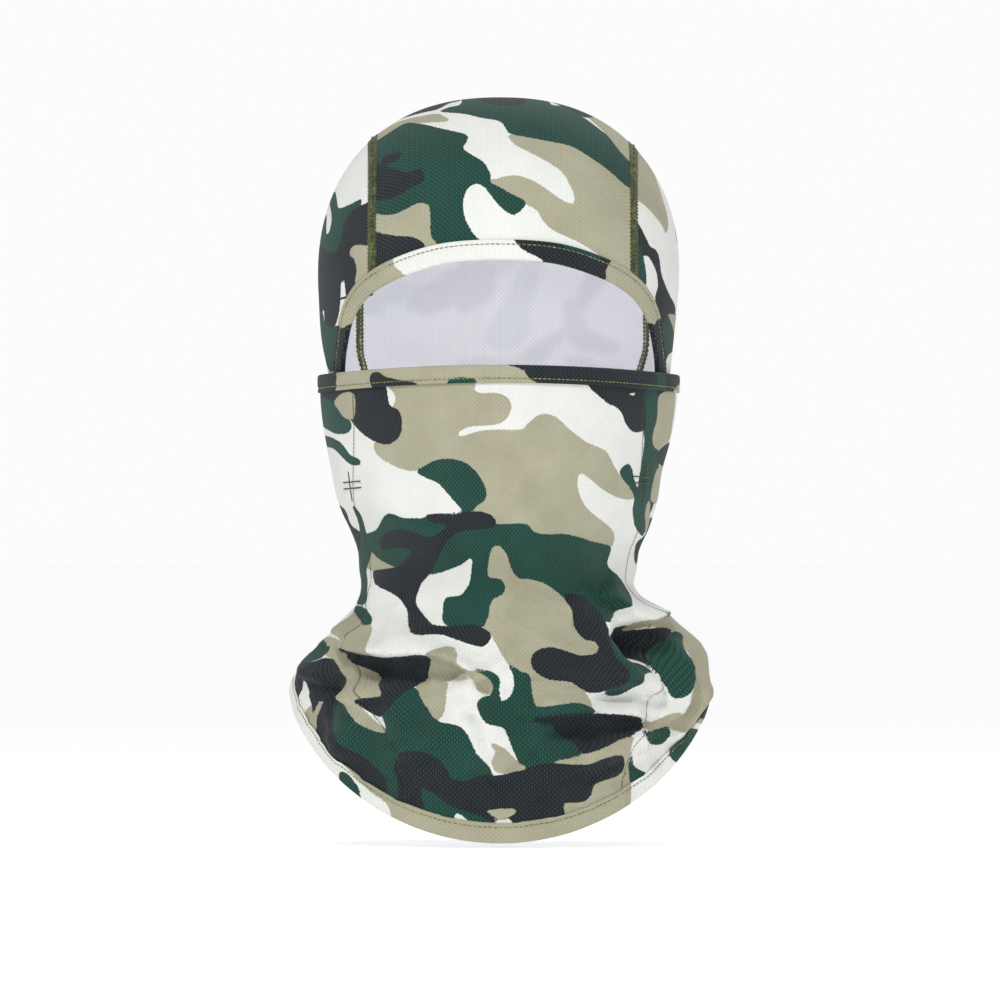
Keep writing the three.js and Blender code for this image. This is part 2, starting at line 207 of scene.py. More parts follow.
def hood_reach(direction, centre=(0, 0, 5)):
    """Points where rays from the centre meet the hood."""
    c = np.array(centre, float)
    low, high = np.zeros(direction.shape[:-1]), np.full(direction.shape[:-1], 160.0)
    for _ in range(36):
        middle = (low + high) / 2
        p = c + direction * middle[..., None]
        left, right, front, back = hood_section(p[..., 2])
        side = np.maximum(np.where(p[..., 0] > 0, right, left), 1e-3)
        depth = np.maximum(np.where(p[..., 1] < 0, front, back), 1e-3)
        inside = (p[..., 0] / side) ** 2 + (p[..., 1] / depth) ** 2 < 1
        inside &= p[..., 2] < CROWN_Z
        low, high = np.where(inside, middle, low), np.where(inside, high, middle)
    return c + direction * low[..., None]


def hood_front(x, z):
    """The hood's front surface at x and z."""
    left, right, front, _back = hood_section(z)
    side = np.where(x > 0, right, left)
    y = -front * np.sqrt(np.clip(1 - (x / side) ** 2, 0, 1))
    return np.stack([x, y, z], -1)


def spline(points, steps):
    """A smooth curve through points, closed or open, with steps points in each stretch."""
    p = np.array(points, float)
    s = (np.arange(steps) / steps)[:, None]
    out = []
    for i in range(len(p) - 1):
        a, b, c, d = p[max(i - 1, 0)], p[i], p[i + 1], p[min(i + 2, len(p) - 1)]
        out.append(0.5 * (2 * b + (c - a) * s + (2 * a - 5 * b + 4 * c - d) * s**2 + (3 * b - a - 3 * c + d) * s**3))
    out.append(p[-1:])
    return np.concatenate(out)


def closed_spline(points, steps=4):
    p = [points[-1], *points, points[0], points[1]]
    return spline(p, steps)[steps:-steps - 1]


# ---------------------------------------------------------------- the camouflage print
# Each patch is a smooth outline from the front, as x and z. Later patches lie over earlier ones.
CROWN_PRINT = [
    ("khaki", [(5, 82.5), (18, 80.5), (30, 78.5), (40, 73.5), (50, 66.5), (60, 57), (62, 20), (48, 26), (42, 31.5),
               (33, 37), (24, 41), (19, 45), (16, 50), (11, 53), (4, 57.5), (-1, 60), (-5.5, 62.7), (-2, 63),
               (3, 64.4), (8, 64.4), (14, 62.3), (20, 58.5), (25, 55), (30, 52.6), (32, 54), (31, 59), (27, 66),
               (22, 70), (14, 74.5), (8, 77.5), (5, 80)]),
    ("green", [(-25, 93.2), (-15, 92), (-8, 90.2), (0, 88.6), (3, 85), (5, 83), (18, 80.5), (30, 78), (38, 73.5),
               (46, 68), (56, 60), (60, 66), (54, 74), (48, 81), (42, 86), (36, 90.5), (28, 95.5), (20, 99),
               (20, 125), (-10, 130), (-20, 110), (-16, 97.5), (-22, 95)]),
    ("khaki", [(28, 97), (37, 91.5), (45, 84), (53, 74), (62, 68), (64, 90), (50, 104), (36, 110)]),
    ("green", [(-58, 82), (-47, 84.8), (-41, 88), (-35, 87.8), (-28, 86), (-20, 84), (-15, 82.6), (-14, 80.5),
               (-16, 77), (-13, 74), (-8, 71), (-5, 67), (-4, 63.5), (-5, 62), (-1, 60), (5, 56.5), (10.5, 53.5),
               (9, 50.5), (6, 48.3), (3, 49.5), (0, 52), (-4, 57), (-7, 60.5), (-11, 61.5), (-14.5, 58.5),
               (-16, 53), (-15, 46), (-11, 39), (-8, 36), (-14, 34), (-26, 34), (-29, 39), (-29.5, 50),
               (-31, 53), (-35, 53.5), (-40, 51), (-47, 48.5), (-60, 49), (-62, 65)]),
    ("khaki", [(-60, 49.5), (-47, 48.5), (-40, 51), (-35, 53.5), (-31, 52.8), (-29.5, 49), (-29.5, 40), (-26, 35),
               (-32, 32), (-37, 37), (-44, 39), (-50, 40), (-60, 41)]),
    ("navy", [(-60, 41), (-50, 40), (-44, 39), (-38, 38.5), (-34, 36.8), (-32.3, 34.5), (-36, 30), (-46, 26),
              (-62, 22)]),
    ("navy", [(-60, 71), (-52, 70), (-47, 68.5), (-43, 67.4), (-40, 66), (-35, 67.6), (-32.8, 66), (-33, 62.5),
              (-38, 60), (-42, 57.5), (-47, 55.5), (-54, 55), (-60, 58)]),
    ("navy", [(-50, 73), (-45, 75), (-42, 74.6), (-44, 72), (-49, 70.8)]),
    ("khaki", [(-60, 79), (-52, 84.5), (-46, 88), (-40, 90), (-28, 92), (-25, 91.2), (-22, 89), (-27, 88.5),
               (-35, 88.3), (-41, 88), (-47, 84.5), (-54, 80.2)]),
    ("navy", [(-64, 80), (-52, 86.5), (-45, 89.8), (-34, 92.8), (-27, 94.2), (-22, 97), (-16, 99.6), (-14, 112),
              (-30, 118), (-56, 110)]),
    ("navy", [(-8, 98.6), (-4, 96.4), (2, 95.8), (8, 96.2), (11, 98), (9, 104), (2, 112), (-8, 116), (-10, 106)]),
    ("navy", [(10, 101), (20, 98.6), (27, 95.6), (33, 92.6), (36, 91), (40, 92), (36, 98), (26, 102), (15, 103)]),
]
LEFT_HOOD_PRINT = [
    ("green", [(-73, 56), (-71, 59), (-70, 55), (-69, 51.5), (-64, 53), (-59.5, 55), (-59, 52), (-52, 50), (-52, 20),
               (-66, 20), (-84, 26), (-79, 38), (-76, 46), (-74.5, 49), (-74.5, 41), (-73, 42), (-72, 48)]),
    ("navy", [(-50, 54), (-57, 53.2), (-62, 51), (-66, 46.5), (-67.5, 40), (-69.5, 33.5), (-73, 32.5), (-77, 35.5),
              (-86, 33), (-86, 10), (-78, 5), (-75.5, 9), (-75, 3), (-72, 1), (-70, 3), (-68.5, 10), (-68, 20),
              (-66.5, 21), (-65, 10), (-62, 0), (-50, 10)]),
    ("khaki", [(-62, 35.8), (-58, 35.8), (-52, 33), (-52, 16), (-61.5, 18), (-61.3, 25), (-62.5, 29.5),
               (-64.2, 31), (-64, 34)]),
    ("green", [(-86, 8), (-77, 8), (-75, 3), (-71, 1), (-69, 0), (-69, -12), (-72, -18), (-75, -14), (-77, -8),
               (-80, 0)]),
]
RIGHT_HOOD_PRINT = [
    ("khaki", [(50, 80), (57, 82), (64, 72), (70, 55), (72, 46), (71, 41.5), (69, 45), (64, 51), (59, 55), (50, 60)]),
    ("navy", [(52, 52), (58, 46), (62, 39), (64, 35), (66.5, 33.5), (68, 30), (69, 23), (72, 15.5), (75, 10),
              (75, 6.5), (72, 6), (70, 3.5), (68.5, -3), (69, -14), (67, -20), (60, -20), (60, 0), (66, 6),
              (66.5, 14), (67.6, 18), (67, 24), (64.5, 29.5), (61.5, 31.5), (52, 30)]),
    ("green", [(59, 36), (61, 31), (62.4, 20), (60, 19), (57, 26)]),
    ("green", [(72, 6), (69.5, 2), (68, -6), (68, -14), (70, -16), (72, -11), (75, -8), (76, -4), (76, 4)]),
    ("khaki", [(72, 6.5), (75.5, 6.5), (80, 4), (78, -3), (75.5, -4), (74, 1)]),
]
FRONT_PRINT = [
    ("khaki", [(-49, -22), (-30, -22), (-12, -22.5), (-11, -26.5), (-8, -28.2), (-2, -28), (3, -30), (4.5, -34),
               (2.5, -38.5), (-2, -40.8), (-8, -41.3), (-14, -42), (-18, -44.5), (-17.6, -46.2), (-14, -45.8),
               (-8, -44), (0, -43.6), (9, -43.5), (12, -41), (16, -37.6), (20, -37), (24, -38.5), (30, -44),
               (37, -49), (43, -51.5), (46, -54), (49, -60), (53, -66), (56, -71), (55, -72.5), (50, -72),
               (44, -68.5), (38, -63.5), (35, -61.5), (33, -63), (33, -69), (36, -76), (42, -82), (47, -87),
               (47.5, -92), (45, -93.5), (38, -91), (0, -90), (-12, -77.5), (-10, -75.5), (-6.5, -73), (-6, -69),
               (-9, -63), (-14, -58), (-20, -56), (-27, -56.5), (-33, -59), (-36, -60.5), (-42, -59.5),
               (-50, -55.5), (-53.5, -51), (-52, -46), (-44, -30)]),
    ("navy", [(-68, -22), (-60, -23), (-50, -23), (-48, -29), (-47, -33), (-43.5, -35), (-42, -39), (-42.5, -45),
              (-46, -48.5), (-50, -49), (-56, -46.5), (-62, -41), (-66, -34)]),
    ("green", [(-35, -61), (-32, -59), (-27, -56.5), (-20, -56), (-14, -58), (-9, -63), (-6, -69), (-6.5, -73),
               (-10, -75.5), (-12, -77.8), (-15, -77.6), (-18, -74.5), (-23, -68.5), (-26, -65.5), (-31, -63.5)]),
    ("green", [(-60, -89), (-53, -86.5), (-50, -83), (-47, -79.5), (-44, -79.5), (-40, -81), (-32, -81),
               (-30, -79.5), (-22, -79), (-12, -78.5), (-5, -80), (-2, -83.5), (10, -83.5), (14, -87), (20, -88),
               (28, -88), (38, -91), (46, -93), (46.5, -96), (45.5, -101), (50, -107), (51.5, -113), (49, -118),
               (44, -125), (38, -121), (34, -117.5), (27, -115), (20, -109), (13, -106.5), (8, -106), (5, -102),
               (3, -96), (0, -92.5), (-3, -92.8), (-4.5, -97), (-5.5, -104), (-4, -106.5), (0, -107), (2, -110),
               (1, -113), (-3, -115), (-4.5, -119), (-6, -126), (-14, -127.5), (-22, -126), (-24, -120),
               (-23, -115), (-17, -114), (-13, -109), (-12, -103), (-12, -97.5), (-18, -101), (-29, -104.5),
               (-38, -103), (-50, -104), (-56, -101), (-60, -94)]),
    ("khaki", [(-58, -91), (-53, -97), (-47, -100.5), (-43, -102), (-50, -104), (-55, -103), (-59, -99)]),
    ("navy", [(-31, -80), (-27, -79.3), (-20, -79.5), (-13, -78.3), (-7, -78.5), (-3, -80.5), (-2, -83.5),
              (-6, -85), (-16, -86), (-21, -89), (-25, -95), (-29, -103), (-34, -109), (-35.5, -116), (-33, -121),
              (-28, -126), (-22, -127), (-12, -126.5), (-7, -128), (-4, -131), (-7, -135), (-11, -134.5),
              (-17, -132.5), (-24, -130), (-32, -130), (-36, -126), (-38, -120), (-41, -115), (-46, -112),
              (-52, -108.5), (-54, -104), (-50, -103), (-43, -101.5), (-38, -96.5), (-38, -94), (-44, -93),
              (-50, -94), (-51, -91), (-48, -87.5), (-42, -86), (-36, -87), (-30, -89), (-26, -88), (-22, -84),
              (-29, -82)]),
    ("navy", [(38, -22), (45, -31), (49, -33), (52, -36), (54, -41), (58, -44), (63, -42), (66, -38), (68, -22)]),
    ("green", [(60, -28), (66, -28), (68, -60), (66, -74), (62, -82), (60, -88), (58, -86), (55.5, -78), (56, -72),
               (54, -67), (51, -61.5), (54, -58), (56, -60), (57, -66), (59, -70.5), (61.5, -64), (62, -50)]),
    ("white", [(53, -27), (58, -27), (60, -25), (59, -29.5), (57, -29)]),
    # the neck and the skirt
    ("khaki", [(-4.5, -96), (-3, -92.8), (0, -92.5), (3, -96), (5, -102), (8, -106), (13, -106.5), (20, -109),
               (27, -115), (30, -121), (32, -127), (36, -132), (40, -133), (42, -136.5), (39, -139), (34, -139.5),
               (28, -137.5), (20, -140), (20, -149), (28, -150), (33, -152.5), (37, -157), (37, -161.5),
               (30, -159.5), (22, -160.5), (15, -161), (13.5, -157), (12, -148), (8, -146), (4, -143), (-1, -135),
               (-4, -130), (-7, -127), (-5, -122), (-4.5, -118), (-3, -115), (1, -113), (2, -110), (0, -107),
               (-4, -106.5), (-5.5, -104)]),
    ("navy", [(27, -114), (33, -114), (38, -118), (43, -126), (46, -133), (48, -140), (52, -146), (51, -152),
              (45, -154), (38, -154.8), (33, -152.5), (28, -150), (20, -149), (15, -146), (13.3, -142),
              (15, -138), (21, -136), (28, -137.5), (34, -139.5), (39, -139), (42, -136.5), (40, -133),
              (36, -132), (32, -127), (30, -121)]),
    ("green", [(46, -131), (50, -133), (56, -139), (62, -142), (66, -143), (68, -146), (60, -147), (57, -151),
               (53, -155.5), (48, -156), (45, -154), (50, -152), (51, -146), (48, -140)]),
    ("navy", [(48, -130), (56, -127), (60, -129), (64, -129), (70, -128), (74, -131), (74, -145), (71, -148),
              (68, -142), (60, -138), (54, -137.5), (50, -135)]),
    ("white", [(54, -138.5), (57, -137.6), (62, -139.5), (64.5, -141.5), (58, -142), (54.5, -140.5)]),
    ("khaki", [(57, -125), (61, -122.4), (64, -120), (68, -120.5), (73, -124.5), (80, -131), (84, -138), (87, -146),
               (85, -156), (82, -164), (79, -171), (74, -168), (77, -160), (80, -148), (78, -142), (73, -130),
               (66, -127), (62, -129.5), (58, -128)]),
    ("green", [(71, -131), (75, -131), (76, -140), (80, -143), (81, -146.5), (76, -154), (72.4, -157.5),
               (71.5, -148), (70, -143)]),
    ("navy", [(86, -145), (92, -150), (94, -160), (88, -164), (82, -168.5), (83.5, -160), (86, -152)]),
    ("khaki", [(60, -171), (61, -167), (65, -168), (70, -164), (73, -166), (79, -171), (76, -172), (71, -170),
               (66, -171)]),
    ("green", [(57, -170.5), (61, -172), (66, -171), (71, -170), (72, -173), (69, -177), (63, -176.5), (59, -174)]),
    ("green", [(-9, -160), (-7, -157), (-3, -156), (-1, -151), (0, -158), (3, -158), (6, -154), (6, -148),
               (4, -143), (8, -146), (12, -148), (13.5, -157), (15, -161), (22, -160.5), (30, -159.5),
               (36, -161), (38, -163.5), (33, -168), (34, -180), (25, -184), (15, -186.5), (11, -187), (8, -184),
               (5, -177), (2, -170), (-2, -168.5), (-6, -167)]),
    ("navy", [(13, -166.7), (20, -165), (30, -164), (40, -164), (52, -165), (59, -167), (59, -169.5), (52, -173.3),
              (42, -178), (34, -180.5), (33, -177), (27, -173), (22, -168)]),
    ("khaki", [(21, -184), (30, -182), (40, -178.5), (52, -173.5), (54, -180), (55, -190), (57, -202), (48, -206),
               (32, -212), (26, -207), (26, -202), (36, -200), (39, -194), (44, -192), (50, -190), (52.5, -186),
               (50, -182.5), (42, -183), (36, -185.5), (28, -185.5)]),
    ("green", [(55, -181), (58, -187), (64, -191), (61, -195), (56, -193)]),
    ("green", [(-37, -153), (-34, -156), (-30, -162), (-26, -167), (-18, -169), (-14, -173), (-10, -181),
               (-3, -190), (-4, -214), (-24, -214), (-44, -212), (-56, -200), (-64, -190), (-70, -178),
               (-74, -165), (-74, -157), (-70, -155), (-64, -158), (-62, -165), (-58, -170), (-50, -172.5),
               (-48, -170), (-48, -163), (-45, -156), (-41, -154)]),
    ("navy", [(-43, -182), (-36, -180), (-28, -182), (-23, -188), (-21, -191.5), (-14, -192.5), (-8, -190),
              (0, -190), (10, -187.5), (20, -185), (28, -185.5), (36, -185.5), (42, -183), (50, -182),
              (52.5, -186), (50, -190), (44, -192), (40, -194), (39, -198), (35, -201), (27, -201.5), (27, -207),
              (26, -213), (10, -214), (4, -208), (-3, -209), (-10, -206), (-20, -203), (-28, -197.5), (-33, -195),
              (-34, -200), (-33, -204), (-42, -203), (-43, -192)]),
    ("khaki", [(-6, -204.8), (0, -203.6), (7, -204), (5.5, -207), (0, -208.5), (-4, -207)]),
    ("white", [(-20, -214), (-19.8, -207), (-18, -205.8), (-15, -207.5), (-10, -212)]),
    ("khaki", [(-3.4, -176.3), (2, -179), (6, -183), (12, -186.8), (6, -188.6), (-1, -188.2), (-3, -184),
               (-1.6, -180)]),
    ("khaki", [(-64, -158), (-58, -158), (-56, -163), (-51, -169), (-48, -170), (-49, -172.5), (-57, -170),
               (-62, -165)]),
    ("khaki", [(-84, -165), (-79, -159), (-75, -159), (-77, -168), (-79, -175)]),
    ("navy", [(-77, -159), (-74, -160), (-70, -170), (-66, -178), (-58, -183), (-50, -190), (-49, -198),
              (-56, -200), (-66, -191), (-71, -182), (-77, -178.5), (-79, -171)]),
    ("navy", [(-67, -139.5), (-64, -136.5), (-57, -138.5), (-50, -140.5), (-40, -140), (-29, -139.5), (-29, -145),
              (-33, -150), (-38, -153), (-42, -155.5), (-47, -163), (-50, -165), (-55, -162.5), (-57.5, -158),
              (-49, -156.5), (-52, -151), (-57, -146.5), (-62, -143)]),
    ("khaki", [(-74, -134), (-70, -132), (-64, -136.5), (-67, -139.5), (-62, -143), (-57, -146.5), (-52, -151),
               (-49.5, -156.3), (-58, -157.8), (-66, -156.8), (-68, -152), (-70, -145), (-73, -140)]),
    ("khaki", [(-67, -129), (-62, -124), (-58, -119), (-54, -122), (-52.6, -128), (-52, -131), (-50.5, -139),
               (-57, -138.5), (-63, -136), (-65, -132)]),
    ("green", [(-60, -119), (-55, -120), (-52.5, -124), (-53, -126), (-57, -125.5)]),
    ("navy", [(-83, -144), (-78, -142.5), (-73, -141), (-70, -146), (-67.5, -152), (-70, -157), (-75, -159),
              (-79, -159), (-81, -164), (-82, -155)]),
    ("green", [(-84, -138), (-74, -133), (-72.5, -137), (-76, -141), (-82, -142.5)]),
    ("navy", [(-96, -154), (-88, -150), (-83, -147), (-84, -152), (-87.5, -160), (-88, -169), (-94, -162)]),
    ("khaki", [(-29, -140), (-25, -136.7), (-20, -135.6), (-17.5, -138), (-17, -143), (-12, -146), (-7, -145.5),
               (-4, -149), (-2.5, -153), (-4, -155.5), (-9, -153.5), (-11, -149), (-16, -146.5), (-21, -149.5),
               (-27, -150), (-32, -148)]),
    ("khaki", [(-36, -152), (-30, -149.8), (-23, -150.5), (-23, -158), (-24, -164), (-27, -166.5), (-31, -162)]),
    ("green", [(-11, -145.2), (-5, -145.8), (-1, -148.3), (-0.5, -152), (-4, -156.3), (-2.5, -153), (-4, -149),
               (-7, -146.5)]),
]
LEFT_CHEEK_PRINT = [
    ("navy", [(-92, -22), (-74, -19), (-66, -24), (-67, -28), (-71, -31), (-76, -30.5), (-84, -30)]),
    ("green", [(-84, -28), (-72, -30.5), (-68, -36), (-63.5, -40.5), (-65, -44), (-70, -44.5), (-75, -42),
               (-84, -36)]),
    ("khaki", [(-71, -31), (-67, -27), (-62, -28), (-62, -38), (-66, -38.5), (-69, -35)]),
    ("green", [(-84, -45), (-74, -46), (-68, -49), (-64, -54), (-60, -56), (-60, -58), (-64, -57.5), (-68, -54),
               (-72, -50.5), (-80, -49)]),
    ("navy", [(-80, -72), (-70, -75), (-65, -77), (-63, -84), (-59, -88), (-57, -96), (-60, -97), (-66, -88),
              (-72, -80)]),
    ("green", [(-62, -76), (-59, -80), (-57, -88), (-55, -95), (-57, -104), (-54, -116), (-60, -116), (-62, -100),
               (-60, -92), (-60, -84)]),
]
RIGHT_CHEEK_PRINT = [
    ("navy", [(60, -22), (72, -22), (72, -40), (62, -43), (56, -40)]),
    ("green", [(62, -26), (67, -24), (67, -40), (66, -50), (68, -60), (67, -73), (62, -74), (60, -88), (56, -80),
               (60, -60), (62, -45)]),
    ("khaki", [(68, -28), (75, -27), (74, -40), (73, -46), (70, -52), (66, -51), (65, -46), (67, -38)]),
    ("navy", [(72, -49), (80, -47), (76, -58), (69, -58), (67, -54)]),
    ("khaki", [(67, -60), (71, -60), (68, -73), (64, -73)]),
    ("khaki", [(62, -75), (64, -74), (63, -85), (60.5, -86)]),
    ("navy", [(64, -81), (68, -84), (62, -96), (57, -100), (57, -92), (61, -88)]),
]
BROW_PRINT = [
    ("white", [(-45, 27), (-44.5, 30.5), (-38, 33.6), (-28, 36.5), (-10, 39), (9, 39), (9, 34), (15, 31), (18, 27),
               (0, 27), (-20, 26), (-38, 22), (-42, 24)]),
    ("navy", [(7, 39), (20, 40), (30, 36.5), (46, 31), (44, 25), (42, 19), (20, 25), (18, 29), (12, 32), (8, 35)]),
    ("green", [(26, 37), (36, 35), (45, 31), (40, 29), (34, 31.5), (28, 33)]),
    ("navy", [(-80, 4), (-68.4, 1), (-66, 0), (-58, -2), (-60, -70), (-80, -70)]),
    ("navy", [(80, 4), (67.6, 4), (65, 1.5), (58, -2), (60, -70), (80, -70)]),
]
BAND_PRINT = [
    ("navy", [(-92, -14), (-76, -14), (-70, -18), (-69, -22), (-72, -28), (-92, -28)]),
    ("navy", [(-54, -20), (-51, -19), (-48, -21), (-42, -22.5), (-35, -24), (-34, -28), (-50, -28), (-54, -24)]),
    ("white", [(-69, -14), (-62, -14), (-62, -17), (-68, -18)]),
    ("green", [(-21, -22.5), (-15, -21.5), (-10, -23), (-13, -28), (-22, -28)]),
    ("navy", [(7, -14), (10, -18), (12, -21), (16, -24), (18, -28), (78, -28), (80, -14)]),
    ("green", [(65, -14), (68, -14), (70, -24), (68, -28), (50, -28), (52, -25), (62, -24.5), (66, -22)]),
    ("khaki", [(76, -14), (96, -14), (96, -28), (74, -28), (76, -22)]),
]
HEM_PRINT = [
    ("white", [(-104, -160), (-92, -146), (-80, -152), (-70, -180), (-56, -196), (-46, -204), (-50, -216), (-76, -228),
               (-112, -190)]),
    ("green", [(-67, -189), (-61, -194), (-59, -200), (-61.5, -203.4), (-65, -201), (-67, -195)]),
    ("white", [(56, -190), (66, -182), (76, -168), (92, -174), (86, -204), (58, -216)]),
    ("green", [(72, -182), (78, -171), (86, -174), (80, -186)]),
    ("green", [(64, -201.5), (66, -197.5), (70, -196), (70, -198.5)]),
    ("navy", [(82, -164), (84, -152), (92, -146), (98, -158), (88, -166)]),
]
INKS = ("khaki", "green", "navy")


def outline_distance(points, outline):
    """Signed distance from points to a closed outline, both (n, 2): negative inside."""
    best = np.full(len(points), 1e9)
    inside = np.zeros(len(points), bool)
    for a, b in zip(outline, np.roll(outline, -1, 0)):
        ab, ap = b - a, points - a
        t = np.clip((ap @ ab) / max(ab @ ab, 1e-9), 0, 1)
        best = np.minimum(best, ((ap - t[:, None] * ab) ** 2).sum(1))
        crosses = (a[1] > points[:, 1]) != (b[1] > points[:, 1])
        if crosses.any():
            at = a[0] + (points[:, 1] - a[1]) * ab[0] / (ab[1] if abs(ab[1]) > 1e-9 else 1e-9)
            inside ^= crosses & (points[:, 0] < at)
    return np.where(inside, -1, 1) * np.sqrt(best)


class Print:
    """The signed distance of every point to the edge of each ink."""

    FAR = 30.0

    def __init__(self, places):
        self.places = places
        self.inks = {ink: np.full(len(places), self.FAR) for ink in INKS}

    def patch(self, ink, outline):
        low, high = outline.min(0) - 8, outline.max(0) + 8
        near = ((self.places > low) & (self.places < high)).all(1)
        if not near.any():
            return
        distance = outline_distance(self.places[near], outline)
        for name in INKS:
            values = self.inks[name][near]
            values = np.minimum(values, distance) if name == ink else np.maximum(values, -distance)
            self.inks[name][near] = values

    def patches(self, prints, to_place):
        for ink, outline in prints:
            smooth = closed_spline(outline)
            self.patch(ink, to_place(smooth[:, 0], smooth[:, 1]))


def tube_place(x, z):
    """Where the front view's x and z lie on the print of the tube: past the side, x goes on round it."""
    reaches = tube_section(z)
    side = np.where(x > 0, reaches[1], reaches[0])
    beyond = np.maximum(np.abs(x) - side, 0) / TURN_MM
    return np.stack([(turn_at(reaches, x) + np.sign(x) * beyond) * TURN_MM, z], 1)


def hood_place(x, z):
    reaches = hood_section(np.minimum(z, CROWN_Z - 4))
    side = np.where(x > 0, reaches[1], reaches[0])
    beyond = np.maximum(np.abs(x) - side, 0) / TURN_MM
    return np.stack([(turn_at(reaches, x) + np.sign(x) * beyond) * TURN_MM, z], 1)


def crown_angle(y, z):
    """The angle over the crown, from the front at 0 to the back."""
    return np.arctan2(z - 5, -y)


def crown_seam_x(sign, angle):
    """Where a crown seam runs at each angle over the crown: straight in front, and wider behind the ears."""
    ease = lambda a, b: (lambda t: t * t * (3 - 2 * t))(np.clip((angle - a) / (b - a), 0, 1))
    return CROWN_SEAM_X[0 if sign < 0 else 1] + sign * SEAM_SPREAD * (ease(1.75, 2.8) - ease(3.35, 3.8))


def crown_place(x, z):
    """Where the front view's x and z lie on the crown panel. Above the crown, z goes on down the back."""
    low = np.minimum(z, CROWN_Z - 0.6)
    angle = crown_angle(hood_front(x, low)[:, 1], low)
    over = np.maximum(z - low, 0) / 88
    return np.stack([x, (angle + over) * 88], 1)


def woodland(layer, seed, low, high, keep):
    """Random camouflage patches over a stretch of the print, where keep(u, v, size) says so."""
    rng = np.random.default_rng(seed)
    span = np.array(high) - np.array(low)
    for ink, dense, size in (("khaki", 430, 15), ("green", 480, 14), ("navy", 560, 11), ("white", 1500, 9)):
        for _ in range(int(span[0] * span[1] / (dense * 2.6))):
            at = np.array(low) + rng.random(2) * span
            lean = rng.normal(0, 0.5) + (0 if rng.random() < 0.7 else 1.2)
            long = size * rng.uniform(0.9, 1.9)
            angles = np.linspace(0, 2 * np.pi, 11)[:-1]
            wave = 1 + 0.32 * np.sin(2 * angles + rng.uniform(0, 6)) + 0.26 * np.sin(3 * angles + rng.uniform(0, 6))
            ring = np.stack([np.cos(angles) * long, np.sin(angles) * size * 0.62], 1) * wave[:, None]
            bend = 0.012 * ring[:, 0] ** 2 * rng.uniform(-1, 1)
            ring[:, 1] += bend
            turned = ring @ np.array([[math.cos(lean), math.sin(lean)], [-math.sin(lean), math.cos(lean)]])
            if keep(at, long):
                layer.patch(ink, closed_spline((at + turned).tolist()))


# ---------------------------------------------------------------- folds in the cloth
# Each fold is a path from the front as x and z, its height, and how far it spreads above and below the path.
FOLDS = [
    ([(-70, -136), (-58, -137.8), (-45, -138.6), (-24, -138.6)], 7, 10, 1.3),
    ([(-27, -139), (-19, -141.5), (-11, -147.5), (-4, -150)], 6, 4, 1.6),
    ([(-60, -112), (-42, -126), (-24, -139)], 3.2, 9, 6),
    ([(-17, -146), (-10, -160), (-4, -176), (-2, -192)], 3, 7, 5),
    ([(-66, -72), (-66, -90), (-61, -116)], 2.4, 3.5, 4),
    ([(-62, -117), (-66, -127), (-78, -136), (-86, -150)], 4, 7, 4),
    ([(-58, -158), (-64, -166), (-70, -184)], 3, 6, 5),
    ([(-56, -158), (-66, -156.5), (-76, -150), (-84, -146)], 5, 7, 2.2),
    ([(-46, -142), (-47, -156), (-40, -176)], 2.6, 6, 6),
    ([(40, -112), (50, -119), (63, -126.5)], 6.5, 8, 1.5),
    ([(27, -115), (40, -126), (50, -138), (58, -150)], 3, 8, 4),
    ([(56, -125), (65, -121), (76, -128), (84, -142), (84, -158), (78, -172)], 7.5, 4, 3.2),
    ([(66, -129), (74, -136), (77, -148), (74, -160), (68, -168)], 6, 3, 2.6),
    ([(46, -150), (60, -151), (72, -158)], 4, 7, 2.6),
    ([(12, -165), (36, -163), (62, -166)], 5, 9, 1.3),
    ([(33, -181), (48, -175), (64, -171)], 4, 1.6, 6),
    ([(22, -167), (10, -178), (-4, -192)], 2.6, 6, 4),
    ([(6, -142), (14, -147), (30, -150), (50, -152)], 2.6, 6, 3),
    ([(8, -78), (20, -94), (32, -110)], 1.8, 8, 7),
    ([(-28, -62), (-10, -70), (14, -68)], 1.2, 9, 9),
    ([(-58, -66), (-40, -84), (-20, -92)], 1.3, 8, 8),
    ([(60, -66), (46, -84), (28, -94)], 1.3, 8, 8),
    ([(63, -80), (58, -96), (62, -114)], 1.6, 4, 4),
    ([(-14, -156), (-26, -172), (-44, -190)], 2.2, 7, 6),
    ([(20, -186), (40, -184), (56, -180)], 1.8, 6, 4),
]
# Each hollow is x, z, its spread in x and z, and its depth.
HOLLOWS = [
    (-69, -92, 3, 14, 3), (70, -92, 3, 14, 3), (-52, -147, 9, 4, 5), (-16, -147, 6, 3, 4), (50, -157, 12, 3, 4),
    (-72, -153, 6, 7, 10), (63, -136, 8, 8, 20), (-42, -146, 14, 5, 5), (-10, -141, 6, 4, 3), (44, -160, 12, 5, 3),
    (-66, -134, 6, 4, 4), (30, -171, 14, 4, 3), (53, -131, 6, 4, 6), (70, -150, 3, 8, 6), (88, -150, 3, 6, 3),
    (4, -57, 12, 7, 1.6),
]
# The back and sides: turn in radians, height, lean, height of the ridge and its spread.
BACK_FOLDS = [
    (1.75, -128, 0.5, 4, 7), (2.1, -142, -0.3, 4.5, 6), (2.6, -134, 0.2, 4, 7), (3.0, -150, -0.4, 4, 8),
    (-2.9, -128, 0.35, 4.5, 7), (-2.4, -140, -0.25, 4, 6), (-2.0, -130, 0.4, 4.5, 7), (-1.7, -150, -0.3, 3.5, 6),
    (2.3, -165, 0.5, 3, 9), (-2.2, -168, -0.5, 3, 9), (3.05, -104, 0.05, 3, 7), (2.5, -96, -0.2, 2.6, 6),
    (-2.5, -98, 0.25, 2.6, 6), (1.8, -96, 0.3, 2, 6), (-1.8, -98, -0.3, 2, 6),
]


